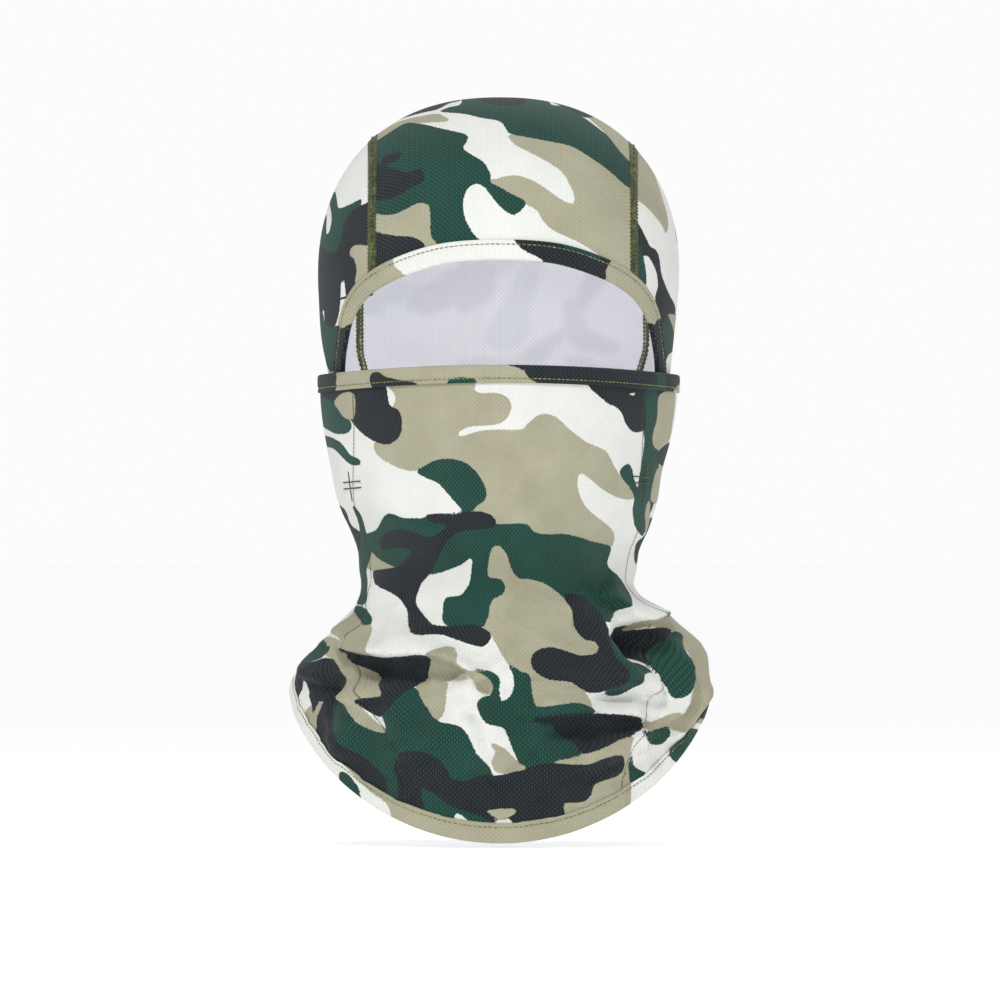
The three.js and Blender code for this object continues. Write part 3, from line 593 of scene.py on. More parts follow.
def path_offset(places, path):
    """Distance to a path, signed across it, and 0 to 1 along it."""
    points = spline(path, 4)
    best = np.full(places.shape[:-1], 1e9)
    across, along = np.zeros_like(best), np.zeros_like(best)
    count = len(points) - 1
    for i in range(count):
        a, b = points[i], points[i + 1]
        ab = b - a
        t = np.clip(((places - a) @ ab) / (ab @ ab), 0, 1)
        gap_shade = places - a - t[..., None] * ab
        far = np.hypot(gap_shade[..., 0], gap_shade[..., 1])
        side = np.sign(ab[0] * gap_shade[..., 1] - ab[1] * gap_shade[..., 0])
        near = far < best
        best = np.where(near, far, best)
        across = np.where(near, far * side, across)
        along = np.where(near, (i + t) / count, along)
    return across, along


FOLD_MM = 80  # millimetres of cloth for each radian, where folds are placed
CRUMPLES = (  # fine waves of the skirt: length, lean, phase and height
    (19, 0.35, 0.4, 1.7), (13, -0.55, 2.1, 1.2), (23, 1.1, 4.0, 1.4), (9, 0.1, 1.2, 0.5),
)


def folded(points, turn):
    """The tube's cloth, pushed in and out into its folds. Returns the folded points."""
    places = np.stack([points[..., 0], points[..., 2]], -1)
    front = np.clip(np.cos(turn) * 5, 0, 1)
    push = np.zeros(points.shape[:-1])
    for path, high, above, below in FOLDS:
        across, along = path_offset(places, path)
        upward = path[-1][0] >= path[0][0]
        up = across if upward else -across
        shape = np.where(up > 0, np.exp(-((up / above) ** 2)), np.exp(-((up / below) ** 2)))
        ends = np.clip(np.minimum(along, 1 - along) * 5 + 0.25, 0, 1)
        push += 1.5 * high * shape * ends * front
    for x, z, wide, tall, deep in HOLLOWS:
        push -= 1.25 * deep * front * np.exp(-((places[..., 0] - x) / wide) ** 2 - ((places[..., 1] - z) / tall) ** 2)
    for at, z, lean, high, spread in BACK_FOLDS:
        around = np.angle(np.exp(1j * (turn - at))) * FOLD_MM
        up = points[..., 2] - z
        across = up * math.cos(lean) - around * math.sin(lean)
        along = up * math.sin(lean) + around * math.cos(lean)
        shape = np.where(across > 0, np.exp(-((across / spread) ** 2)), np.exp(-((across / (spread * 0.4)) ** 2)))
        push += high * shape * np.exp(-((along / 32) ** 2)) * (1 - front)
    crumple = np.clip((-104 - points[..., 2]) / 25, 0, 1) * np.clip(np.cos(turn) * 1.5 + 0.9, 0, 1)
    around, up = turn * FOLD_MM, points[..., 2]
    for length, lean, phase, high in CRUMPLES:
        wave = (around * math.sin(lean) + up * math.cos(lean) + 5 * np.sin(around / 23 + phase)
                + 4 * np.sin(up / 17 - phase))
        push += high * crumple * ((1 - np.abs(np.sin(wave * math.pi / length + phase))) ** 2 - 0.35)
    hem_part = np.clip((points[..., 2] - hem_height(points[..., 1]) - 1) / 12, 0.12, 1)
    normal = np.stack([np.sin(turn), -np.cos(turn), np.zeros_like(turn)], -1)
    side_part = 1 - 0.6 * np.abs(np.sin(turn)) ** 8
    return points + normal * (push * hem_part * side_part)[..., None]


# ---------------------------------------------------------------- cloth meshes
def grid_normals(points):
    rows, columns = np.gradient(points, axis=0), np.gradient(points, axis=1)
    normal = np.cross(columns, rows)
    return normal / np.maximum(np.linalg.norm(normal, axis=-1, keepdims=True), 1e-9)


def grid_area(points):
    a, b, c, d = points[:-1, :-1], points[:-1, 1:], points[1:, 1:], points[1:, :-1]
    return float((np.linalg.norm(np.cross(c - a, d - b), axis=-1) / 2).sum())


def cloth(name, points, uv, inks, materials, thick=CLOTH, keep=None, flip=False):
    """A sheet from a grid of outer points in millimetres. Its inner face and edges follow from its thickness."""
    normal = grid_normals(points) * (-1 if flip else 1)
    rows, columns = points.shape[:2]
    inner = points - normal * thick
    index = np.arange(rows * columns).reshape(rows, columns)
    keep = np.ones((rows - 1, columns - 1), bool) if keep is None else keep
    quads = np.stack([index[:-1, :-1], index[:-1, 1:], index[1:, 1:], index[1:, :-1]], -1)[keep]
    if flip:
        quads = quads[:, ::-1]
    count = rows * columns
    edges = np.concatenate([quads[:, [i, (i + 1) % 4]] for i in range(4)])
    have = set(map(tuple, edges.tolist()))
    rim = [(b, a, a + count, b + count) for a, b in have if (b, a) not in have]
    rim.sort()
    faces = np.concatenate([quads, quads[:, ::-1] + count, np.array(rim)])
    used, faces = np.unique(faces, return_inverse=True)
    faces = faces.reshape(-1, 4)
    all_points = np.concatenate([points.reshape(-1, 3), inner.reshape(-1, 3)])[used] * MM
    mesh = bpy.data.meshes.new(name)
    mesh.from_pydata(all_points.tolist(), [], faces.tolist())
    finish_mesh(mesh, np.concatenate([uv.reshape(-1, 2)] * 2)[used],
                {ink: np.concatenate([values, values])[used] for ink, values in inks.items()})
    which = np.zeros(len(faces), np.int32)
    which[len(quads):2 * len(quads)] = 1
    mesh.polygons.foreach_set("material_index", which)
    for material in materials:
        mesh.materials.append(material)
    return link(name, mesh)


def finish_mesh(mesh, uv, values):
    mesh.shade_smooth()
    layer = mesh.uv_layers.new(name="cloth")
    corners = np.empty(len(mesh.loops), np.int32)
    mesh.loops.foreach_get("vertex_index", corners)
    layer.data.foreach_set("uv", (uv[corners]).astype(np.float32).ravel())
    for key, data in values.items():
        mesh.attributes.new(key, "FLOAT", "POINT").data.foreach_set("value", data.astype(np.float32))
    mesh.update()


def link(name, mesh):
    piece = bpy.data.objects.new(name, mesh)
    bpy.context.scene.collection.objects.link(piece)
    return piece


def declare(piece, flat_points, held, **more):
    """Works out the area of the grid of points in square metres, and does not keep it."""
    grid_area(flat_points) * MM * MM


def fold_profile(wide, high=1.05, low=-1.35, turn_steps=7, leaf_steps=8):
    """A hem folded in two, from its inner leaf round to its outer leaf: distance from the edge, and height."""
    middle, radius = (high + low) / 2, (high - low) / 2
    inner = [(a, low) for a in np.linspace(wide, radius, leaf_steps)]
    bend = [(radius - radius * math.sin(t), middle - radius * math.cos(t))
            for t in np.linspace(0, math.pi, turn_steps)[1:-1]]
    outer = []
    for a in np.linspace(radius, wide, leaf_steps + 4):
        near_stitch = math.exp(-((a - (wide - 1.9)) / 0.7) ** 2)
        outer.append((a, high - 0.55 * near_stitch - 0.35 * max(0, (a - wide + 0.8) / 0.8)))
    return np.array(inner + bend + outer)


# ---------------------------------------------------------------- shader expressions
class Term:
    """A shader socket that sums, products and quotients are written on."""

    def __init__(self, net, socket):
        self.net, self.socket = net, socket

    def math(self, operation, *others, clamp=False):
        inputs = {i: value for i, value in enumerate((self, *others))}
        return self.net.node("ShaderNodeMath", {"operation": operation, "use_clamp": clamp}, inputs)

    def __add__(self, other):
        return self.math("ADD", other)

    __radd__ = __add__

    def __mul__(self, other):
        return self.math("MULTIPLY", other)

    __rmul__ = __mul__

    def __sub__(self, other):
        return self.math("SUBTRACT", other)

    def __rsub__(self, other):
        return self.net.number(other).math("SUBTRACT", self)

    def __truediv__(self, other):
        return self.math("DIVIDE", other)

    def step(self, low, high):
        """0 at low and 1 at high, smooth between."""
        return self.net.node("ShaderNodeMapRange", {"interpolation_type": "SMOOTHSTEP"},
                             {0: self, 1: low, 2: high, 3: 0.0, 4: 1.0})


class Net:
    """The node tree of one material."""

    def __init__(self, name):
        self.material = bpy.data.materials.new(name)
        self.material.use_nodes = True
        self.tree = self.material.node_tree
        self.tree.nodes.clear()

    def node(self, kind, settings=None, inputs=None, out=0):
        node = self.tree.nodes.new(kind)
        for key, value in (settings or {}).items():
            setattr(node, key, value)
        for key, value in (inputs or {}).items():
            if isinstance(value, Term):
                self.tree.links.new(value.socket, node.inputs[key])
            else:
                node.inputs[key].default_value = value
        return Term(self, node.outputs[out])

    def number(self, value):
        term = self.node("ShaderNodeValue")
        term.socket.default_value = value
        return term

    def attribute(self, name):
        return self.node("ShaderNodeAttribute", {"attribute_name": name}, out="Fac")

    def uv(self):
        uv = self.node("ShaderNodeUVMap", {"uv_map": "cloth"})
        parts = self.node("ShaderNodeSeparateXYZ", inputs={0: uv})
        return uv, parts, Term(self, parts.socket.node.outputs[1])

    def mix(self, factor, a, b, blend="MIX"):
        return self.node("ShaderNodeMix", {"data_type": "RGBA", "blend_type": blend},
                         {0: factor, 6: a, 7: b}, out=2)

    def noise(self, vector, scale, detail=2.0, rough=0.5, out=0):
        return self.node("ShaderNodeTexNoise", inputs={"Vector": vector, "Scale": scale, "Detail": detail,
                                                       "Roughness": rough}, out=out)

    def finish(self, colour, roughness, height, depth, sheen=0.0, sheen_tint=(1, 1, 1, 1)):
        bump = self.node("ShaderNodeBump", inputs={"Strength": 0.6, "Distance": depth, "Height": height})
        shader = self.node("ShaderNodeBsdfPrincipled", inputs={
            "Base Color": colour, "Roughness": roughness, "Normal": bump, "Sheen Weight": sheen,
            "Sheen Roughness": 0.55, "Sheen Tint": sheen_tint, "Specular IOR Level": 0.25})
        self.node_out(shader)
        return self.material

    def node_out(self, shader):
        out = self.tree.nodes.new("ShaderNodeOutputMaterial")
        self.tree.links.new(shader.socket, out.inputs[0])


def rgb(red, green, blue):
    """A colour from its 0 to 255 display values."""
    return tuple(((v / 255 + 0.055) / 1.055) ** 2.4 if v > 10 else v / 255 / 12.92 for v in (red, green, blue)) + (1,)


class CamoColours(bpy.types.PropertyGroup):
    """The inks, lining and threads."""
    white: bpy.props.FloatVectorProperty(name="White", description="Colour of the bare cloth", subtype="COLOR",
                                         size=4, default=rgb(227, 228, 223))
    khaki: bpy.props.FloatVectorProperty(name="Khaki", description="The palest ink", subtype="COLOR",
                                         size=4, default=rgb(171, 168, 144))
    green: bpy.props.FloatVectorProperty(name="Green", description="The teal green ink", subtype="COLOR",
                                         size=4, default=rgb(31, 79, 68))
    navy: bpy.props.FloatVectorProperty(name="Navy", description="The darkest ink", subtype="COLOR",
                                        size=4, default=rgb(43, 51, 57))
    lining: bpy.props.FloatVectorProperty(name="Lining", description="Colour of the knit's inner face",
                                          subtype="COLOR", size=4, default=rgb(224, 224, 229))
    thread: bpy.props.FloatVectorProperty(name="Thread", description="Colour of the seam threads", subtype="COLOR",
                                          size=4, default=rgb(122, 126, 72))
    elastic: bpy.props.FloatVectorProperty(name="Elastic", description="Colour of the tape inside the hems",
                                           subtype="COLOR", size=4, default=rgb(222, 222, 218))


class CamoSizes(bpy.types.PropertyGroup):
    """Sizes of the knit and its stitches."""
    column_pitch: bpy.props.FloatProperty(name="Knit column", description="Width of one column of the knit",
                                          default=1.0 * MM, unit="LENGTH")
    stitch_pitch: bpy.props.FloatProperty(name="Seam stitch", description="Length of one seam stitch",
                                          default=1.35 * MM, unit="LENGTH")
    topstitch_pitch: bpy.props.FloatProperty(name="Topstitch", description="Length of one topstitch",
                                             default=2.2 * MM, unit="LENGTH")
    grid: bpy.props.FloatProperty(name="Cloth grid", description="Distance between the points of the cloth",
                                  default=1.3 * MM, unit="LENGTH")


def knit_pattern(u, v, pitch):
    """Raised stitches of the knit in staggered columns: 1 on a stitch and 0 between."""
    column = u / pitch
    whole = column.math("FLOOR")
    across = column - whole - 0.5
    raised = (v / (pitch * 2)) + whole.math("MODULO", 2.0).math("ABSOLUTE") * 0.5
    along = raised - raised.math("FLOOR") - 0.5
    far = (across * across) * 9.0 + (along * along) * 7.0
    return 1.0 - far.step(0.25, 1.3)


def knit_material(name, colours, pitch, ghost=None, printed=True):
    net = Net(name)
    uv, u, v = net.uv()
    stitch = knit_pattern(u, v, pitch)
    ragged = net.noise(uv, 0.9, 1.0) - 0.5
    cloudy = net.noise(uv, 0.045, 3.0)
    white, khaki, green, navy = (tuple(getattr(colours, key)) for key in ("white", *INKS))
    blur = 0.22 if ghost is None else 2.4  # the print is blurred where it shows through to the inner face
    if printed:
        masks = {ink: (0.34 - (net.attribute(ink) + ragged * 0.9)).step(-blur, blur) for ink in INKS}
    if ghost is not None:
        lining = tuple(colours.lining)
        colour = net.mix(cloudy * 0.35, lining, tuple(c * 0.86 for c in lining[:3]) + (1,))
        for ink, share in (("khaki", 0.04), ("green", 0.1), ("navy", 0.13)):
            colour = net.mix(masks[ink] * share, colour, tuple(getattr(colours, ink)))
        # The gaps between the stitches of the inner face are painted darker: painted shade in the knit's hollows.
        colour = net.mix((1.0 - stitch) * 0.16, colour, rgb(140, 140, 148))
    else:
        shade = lambda c, k: tuple(min(1, x * k) for x in c[:3]) + (1,)
        # The white cloth is painted grey in the gaps between the raised stitches: painted shade in the knit's hollows.
        gap_shade = 1.0 - stitch
        white_part = net.mix(gap_shade * 0.2, white, rgb(186, 188, 186))
        khaki_part = net.mix(stitch * 0.5, shade(khaki, 0.86), shade(khaki, 1.12))
        green_part = net.mix(stitch * 0.75, shade(green, 0.5), shade(green, 1.35))
        navy_part = net.mix(stitch * 0.7, shade(navy, 0.34), shade(navy, 1.35))
        colour = white_part
        for ink, part in (("khaki", khaki_part), ("green", green_part), ("navy", navy_part)):
            colour = net.mix(masks[ink], colour, part)
        tone = (cloudy - 0.5) * 0.32 + 0.5
        colour = net.mix(1.0, colour, net.node("ShaderNodeCombineColor", inputs={0: tone, 1: tone, 2: tone}),
                         "SOFT_LIGHT")
    fibre = net.noise(uv, 3.5, 2.0)
    height = stitch + fibre * 0.35
    dull = 0.86 if ghost is None else 0.46  # the inner face is the smooth, shiny side of the knit
    return net.finish(colour, dull - stitch * 0.08, height, 0.00035, sheen=0.05)


def thread_material(name, base, pale):
    """Twisted sewing thread, paler where each ply catches the light."""
    net = Net(name)
    place = net.node("ShaderNodeTexCoord", out="Object")
    ply = net.noise(place, 1500.0, 2.0, 0.7)
    lot = net.noise(place, 260.0, 1.0)
    colour = net.mix((ply * 0.6 + lot * 0.5).step(0.5, 0.68), base, pale)
    return net.finish(colour, 0.62, ply, 0.0002, sheen=0.1)


def elastic_material(name, base):
    """Woven elastic tape: ribs along it, crossed by finer picks."""
    net = Net(name)
    _uv, u, v = net.uv()
    rib = (v * 5.0).math("SINE") * 0.5 + 0.5
    pick = (u * 9.0).math("SINE") * 0.5 + 0.5
    colour = net.mix(rib * 0.5 + pick * 0.2, base, tuple(c * 0.7 for c in base[:3]) + (1,))
    return net.finish(colour, 0.7, rib + pick * 0.4, 0.0003)


FINISHES = {}


def finishes():
    """Every material, made once."""
    if not FINISHES:
        colours, sizes = bpy.context.scene.camo_colours, bpy.context.scene.camo_sizes
        pitch = sizes.column_pitch / MM
        thread = tuple(colours.thread)
        FINISHES["knit"] = knit_material("camo_knit_cloth", colours, pitch)
        FINISHES["hem"] = knit_material("camo_hem_cloth", colours, pitch)
        FINISHES["lining"] = knit_material("knit_inner_face", colours, pitch, ghost=True)
        FINISHES["thread"] = thread_material("seam_thread_olive", tuple(c * 0.7 for c in thread[:3]) + (1,),
                                             rgb(164, 166, 104))
        FINISHES["fleck"] = thread_material("seam_thread_yellow", thread, rgb(236, 232, 176))
        FINISHES["cream"] = thread_material("seam_thread_cream", rgb(172, 170, 142), rgb(238, 236, 216))
        FINISHES["dark"] = thread_material("seam_thread_dark", rgb(48, 55, 32), rgb(86, 94, 52))
        FINISHES["elastic"] = elastic_material("hem_elastic", tuple(colours.elastic))
    return FINISHES


# ---------------------------------------------------------------- panels
def steps_of(length):
    return max(4, int(round(length / (bpy.context.scene.camo_sizes.grid / MM))))


def hood_turn(points):
    left, right, front, back = hood_section(np.minimum(points[..., 2], CROWN_Z - 0.5))
    x, y = points[..., 0], points[..., 1]
    return np.arctan2(x / np.where(x > 0, right, left), -y / np.where(y < 0, front, back))


def side_inks(points):
    """Print of a hood side: its own patches in front, and random ones behind the ear."""
    places = np.stack([hood_turn(points) * TURN_MM, points[..., 2]], -1).reshape(-1, 2)
    layer = Print(places)
    right = points[..., 0].mean() > 0
    low, high = ((118, -75), (235, 110)) if right else ((-235, -75), (-118, 110))
    woodland(layer, 11 if right else 12, low, high, lambda at, size: abs(at[0]) > 126 + size * 0.8)
    layer.patches(RIGHT_HOOD_PRINT if right else LEFT_HOOD_PRINT, hood_place)
    return layer.inks


class BALACLAVA_OT_crown(bpy.types.Operator):
    """Make the crown panel, from the brow over the head to the nape"""
    bl_idname = "balaclava.crown"
    bl_label = "Crown panel"

    def execute(self, context):
        f = finishes()
        low, high = CROWN_SEAM_X
        x = np.linspace(low - 0.4, high + 0.4, steps_of(high - low))
        edge_x, edge_z = brow_line()
        start_z = np.interp(x, edge_x, edge_z) + 5.5
        front = hood_front(x, start_z)
        first = crown_angle(front[:, 1], front[:, 2])
        left, right, _front, back = hood_section(np.full_like(x, NAPE_Z - 2))
        y = back * np.sqrt(np.clip(1 - (x / np.where(x > 0, right, left)) ** 2, 0, 1))
        last = crown_angle(y, np.full_like(x, NAPE_Z - 2)) % (2 * np.pi)
        s = np.linspace(0, 1, steps_of(345))[:, None]
        angle = first + (last - first) * s
        direction = np.stack([np.zeros_like(angle), -np.cos(angle), np.sin(angle)], -1)
        across = (x - low) / (high - low)
        x = crown_seam_x(-1, angle) + (crown_seam_x(1, angle) - crown_seam_x(-1, angle)) * across
        centre = np.stack([x, np.zeros_like(angle), np.full_like(angle, 5)], -1)
        points = hood_reach(direction, centre)
        places = np.stack([centre[..., 0], angle * 88], -1)
        layer = Print(places.reshape(-1, 2))
        woodland(layer, 5, (-60, 160), (60, 345), lambda at, size: at[1] > 178 + size * 0.8)
        layer.patches(CROWN_PRINT, crown_place)
        piece = cloth("crown_cloth", points, places, layer.inks, (f["knit"], f["lining"]), flip=outward(points))
        dress(piece, "crown_panel")
        declare(piece, points, "stretched")
        return {"FINISHED"}


def outward(points):
    """Whether the grid's normals point in, and have to be turned round."""
    r, c = points.shape[0] // 2, points.shape[1] // 2
    normal = grid_normals(points)[r, c]
    return bool(normal @ (points[r, c] - np.array([0, 0, points[r, c, 2] * 0.6])) < 0)


def dress(piece, node, body=ROOT, cross=False):
    """What a finished piece rides on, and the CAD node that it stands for."""
    if cross:
        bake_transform(piece, ROOT, COVER, start=BLEND_START, end=BLEND_END)
    else:
        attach(piece, body)
    if node:
        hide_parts(node)


# The face and neck cloth turns with the band in front and keeps still behind the ears.
BLEND_START, BLEND_END = (0, -0.044, -0.1286), (0, -0.090, -0.030)


def brow_line():
    """The eye opening's upper edge as x and z, from left to right."""
    x = [p[0] for p in BROW_EDGE if p[1] > 0]
    z = [p[1] for p in BROW_EDGE if p[1] > 0]
    return np.array([-v for v in x[:0:-1]] + x), np.array(z[:0:-1] + z)


class BALACLAVA_OT_hood_sides(bpy.types.Operator):
    """Make the two side panels of the hood"""
    bl_idname = "balaclava.hood_sides"
    bl_label = "Hood sides"

    def execute(self, context):
        f = finishes()
        for name, sign in (("left", -1), ("right", 1)):
            seam = abs(CROWN_SEAM_X[0 if sign < 0 else 1]) + 0.1
            reach = (lambda z: hood_section(z)[0]) if sign < 0 else (lambda z: hood_section(z)[1])
            heights = np.linspace(WIDEST_Z, CROWN_Z, 4000)
            top = heights[np.argmax(reach(heights) < seam + 0.02)]
            rows = steps_of(top - NAPE_Z)
            z = NAPE_Z - 2 + (top - 0.02 - NAPE_Z + 2) * np.sin(np.linspace(0, np.pi / 2, rows)) ** 0.85
            half = reach(z)
            _left, _right, front, back = hood_section(z)
            edge_z = np.array([p[1] for p in BROW_EDGE][::-1], float)
            edge_x = np.array([p[0] + p[2] * 5.5 for p in BROW_EDGE][::-1], float)
            seam_part = np.sqrt(np.clip(1 - (seam / half) ** 2, 0, 1))
            edge_part = np.sqrt(np.clip(1 - (np.interp(z, edge_z, edge_x) / half) ** 2, 0, 1))
            y0 = -front * np.where(z > 13, seam_part, np.minimum(seam_part, edge_part))
            y1 = back * seam_part
            for _ in range(12):
                at = np.abs(crown_seam_x(sign, crown_angle(y1, z) % (2 * np.pi))) + 0.1
                y1 = back * np.sqrt(np.clip(1 - (np.maximum(at, seam) / half) ** 2, 0, 1))
            s = np.linspace(0, 1, steps_of(125))
            y = y0[:, None] + (y1 - y0)[:, None] * s
            depth = np.where(y < 0, front[:, None], back[:, None])
            x = sign * half[:, None] * np.sqrt(np.clip(1 - (y / depth) ** 2, 0, 1))
            points = np.stack([x, y, np.broadcast_to(z[:, None], y.shape)], -1)
            uv = np.stack([hood_turn(points) * TURN_MM, points[..., 2]], -1)
            piece = cloth(f"hood_side_cloth_{name}", points, uv, side_inks(points), (f["knit"], f["lining"]),
                          flip=outward(points))
            dress(piece, f"hood_side_{name}")
            declare(piece, points, "stretched")
        return {"FINISHED"}


SEAM_TURNS = smooth_rows([  # height, left and right turn of the front seams
    (HEM_LOW - 4, 0.47, 0.62), (-182, 0.5, 0.65), (-150, 0.76, 0.86), (-125, 1.05, 1.08), (-104, 1.17, 1.17),
    (-70, 1.08, 1.08), (-40, 0.96, 0.96), (BAND_TOP + 6, 0.95, 0.94),
])
BACK_SEAM_TURNS = smooth_rows([  # height and turn of the back seams
    (HEM_LOW - 4, 2.43), (-150, 2.33), (-125, 2.16), (-104, 2.02), (NAPE_Z, 2.12), (BAND_TOP + 6, 2.2),
])


def front_seam_turn(z, sign):
    left, right = section(SEAM_TURNS, z)
    return sign * (left if sign < 0 else right)


def back_seam_turn(z, sign):
    return sign * section(BACK_SEAM_TURNS, z)[0]


def hem_edge(turn):
    """Height of the bottom hem's free edge at each turn."""
    z = np.full_like(turn, -180.0)
    for _ in range(30):
        z = hem_height(tube_point(turn, z)[..., 1])
    return z


def band_top(turn):
    return BAND_TOP + 1.8 - 3.6 * np.sin(turn) ** 2


def tube_grid(turn_a, turn_b, columns, bands):
    """Rows between heights, and columns between two seam lines.

    bands are (bottom, top, rows), where a height is a number or a function of the turn.
    """
    share = np.linspace(0, 1, columns + 1)
    parts = []
    for k, (bottom, top, rows) in enumerate(bands):
        s = np.linspace(0, 1, rows + 1)[(1 if k else 0):, None]
        turn = np.broadcast_to(share, (len(s), columns + 1)).copy()
        z = np.full(turn.shape, -100.0)
        for _ in range(8):
            lines = turn_a(z) + (turn_b(z) - turn_a(z)) * share
            low = bottom(lines) if callable(bottom) else bottom
            high = top(lines) if callable(top) else top
            z = low + (high - low) * s
        parts.append((lines, z))
    return np.concatenate([p[0] for p in parts]), np.concatenate([p[1] for p in parts])


def tube_inks(turn, z):
    """Places of a neck panel's points on the print, and their inks."""
    places = np.stack([turn * TURN_MM, z], -1)
    layer = Print(places.reshape(-1, 2))
    low, high = (places[..., 0].min() - 10, -226), (places[..., 0].max() + 10, -50)
    if places[..., 0].max() > 130 or places[..., 0].min() < -130:
        woodland(layer, 21, low, high, lambda at, size: abs(at[0]) > 132 + size * 0.8)
    layer.patches(FRONT_PRINT, tube_place)
    layer.patches(LEFT_CHEEK_PRINT, tube_place)
    layer.patches(RIGHT_CHEEK_PRINT, tube_place)
    return places, layer.inks


def panel_bottom(turn):
    return hem_edge(turn) + 5.5


def panel_top(turn):
    return band_top(turn) - 5.0


def make_tube_panel(name, node, turn, z, cross, keep=None):
    """A panel of the neck, and its points with the folds in them."""
    f = finishes()
    points = folded(tube_point(turn, z), turn)
    places, inks = tube_inks(turn, z)
    piece = cloth(name, points, places, inks, (f["knit"], f["lining"]), keep=keep, flip=outward(points))
    dress(piece, node, cross=cross)
    return piece, points


class BALACLAVA_OT_face(bpy.types.Operator):
    """Make the face panel, from the band to the skirt's front"""
    bl_idname = "balaclava.face"
    bl_label = "Face panel"

    def execute(self, context):
        turn, z = tube_grid(lambda z: front_seam_turn(z, -1), lambda z: front_seam_turn(z, 1), steps_of(150),
                            [(panel_bottom, NAPE_Z, steps_of(150)), (NAPE_Z, panel_top, steps_of(46))])
        piece, sewn = make_tube_panel("face_cloth", "face_panel", turn, z, True)
        declare(piece, sewn, "draped")
        return {"FINISHED"}


class BALACLAVA_OT_cheeks(bpy.types.Operator):
    """Make the two cheek panels, round the sides of the neck to the back seams"""
    bl_idname = "balaclava.cheeks"
    bl_label = "Cheek panels"

    def execute(self, context):
        for name, sign in (("left", -1), ("right", 1)):
            middle = lambda z: sign * (np.pi / 2 + np.arcsin(BAND_END_Y / tube_section(z)[3]))
            bands = [(panel_bottom, NAPE_Z, steps_of(150)), (NAPE_Z, panel_top, steps_of(46))]
            front = tube_grid(lambda z: front_seam_turn(z, sign), middle, steps_of(85), bands)
            back = tube_grid(middle, lambda z: back_seam_turn(z, sign), steps_of(75), bands)
            turn, z = (np.concatenate([a, b[:, 1:]], 1) for a, b in zip(front, back))
            keep = np.ones((turn.shape[0] - 1, turn.shape[1] - 1), bool)
            keep[steps_of(150):, steps_of(85):] = False
            piece, sewn = make_tube_panel(f"cheek_cloth_{name}", f"cheek_{name}", turn, z, True, keep)
            split = steps_of(150) + 1
            area = grid_area(sewn[:split]) + grid_area(sewn[split - 1:, :steps_of(85) + 1])
        return {"FINISHED"}


class BALACLAVA_OT_neck_back(bpy.types.Operator):
    """Make the back panel of the neck, from the nape to the skirt's back"""
    bl_idname = "balaclava.neck_back"
    bl_label = "Neck back"

    def execute(self, context):
        turn, z = tube_grid(lambda z: back_seam_turn(z, 1), lambda z: 2 * np.pi + back_seam_turn(z, -1),
                            steps_of(130), [(panel_bottom, NAPE_Z, steps_of(150))])
        piece, sewn = make_tube_panel("neck_back_cloth", "neck_back", turn, z, False)
        declare(piece, sewn, "draped")
        return {"FINISHED"}


# ---------------------------------------------------------------- hems
def hem_strip(name, node, surface, wide, count, inks_of, body, held, uv_of, tall=(1.05, -1.35)):
    """A strip folded in two along an edge. surface(s, a) gives points a millimetres in from the edge."""
    f = finishes()
    profile = fold_profile(wide, *tall)
    s = np.linspace(0, 1, count + 1)
    sheet_points = np.stack([surface(s, np.full_like(s, a)) for a in np.linspace(0, wide, 9)])
    normals = grid_normals(sheet_points)
    if outward(sheet_points):
        normals = -normals
    rows, places = [], []
    for a, h in profile:
        k = a / wide * 8
        i = min(int(k), 7)
        at = sheet_points[i] + (sheet_points[i + 1] - sheet_points[i]) * (k - i)
        normal = normals[i] + (normals[i + 1] - normals[i]) * (k - i)
        rows.append(at + normal * h)
        places.append(uv_of(s, np.full_like(s, a), at))
    points, places = np.stack(rows), np.stack(places)
    middle = len(profile) - 4
    normal = grid_normals(points)[middle, count // 2]
    flip = bool(normal @ normals[6, count // 2] < 0)
    piece = cloth(name, points, places, inks_of(places), (f["hem"], f["hem"]), thick=0.5, flip=flip)
    dress(piece, node, body=body)
    declare(piece, points, held)
    return piece, sheet_points, normals


def brow_surface(s, a):
    """The hood's surface a millimetres out from the eye opening's edge. s runs from its left end to its right."""
    rows = [(-x, z, -ox, oz) for x, z, ox, oz in BROW_EDGE[:0:-1]] + BROW_EDGE
    line = spline(rows, 12)
    length = np.concatenate([[0], np.cumsum(np.hypot(*np.diff(line[:, :2], axis=0).T))])
    at = np.stack([np.interp(s * length[-1], length, line[:, k]) for k in range(4)], -1)
    return hood_front(at[..., 0] + at[..., 2] * a, at[..., 1] + at[..., 3] * a)


def band_turns():
    back = float(tube_section(np.array([BAND_LOW]))[3][0])
    end = np.pi / 2 + math.asin(BAND_END_Y / back)
    return -end, end


def band_surface(s, a):
    low, high = band_turns()
    turn = low + (high - low) * s
    z = band_top(turn) - a
    points = tube_point(turn, z)
    normal = np.stack([np.sin(turn), -np.cos(turn), np.zeros_like(turn)], -1)
    return points + normal * 0.15


def bottom_surface(s, a):
    turn = np.pi * (2 * s - 1)
    z = hem_edge(turn) + a
    return folded(tube_point(turn, z), turn)


def inks_at(prints, to_place, seed=None, keep=None):
    def inks_of(places):
        flat = places.reshape(-1, 2)
        layer = Print(flat)
        if seed is not None:
            low, high = flat.min(0) - 10, flat.max(0) + 10
            corners = [low - 50, (high[0] + 50, low[1] - 50), high + 50, (low[0] - 50, high[1] + 50)]
            layer.patch("khaki", np.array(corners))
            woodland(layer, seed, low, high, keep)
        layer.patches(prints, to_place)
        return layer.inks
    return inks_of


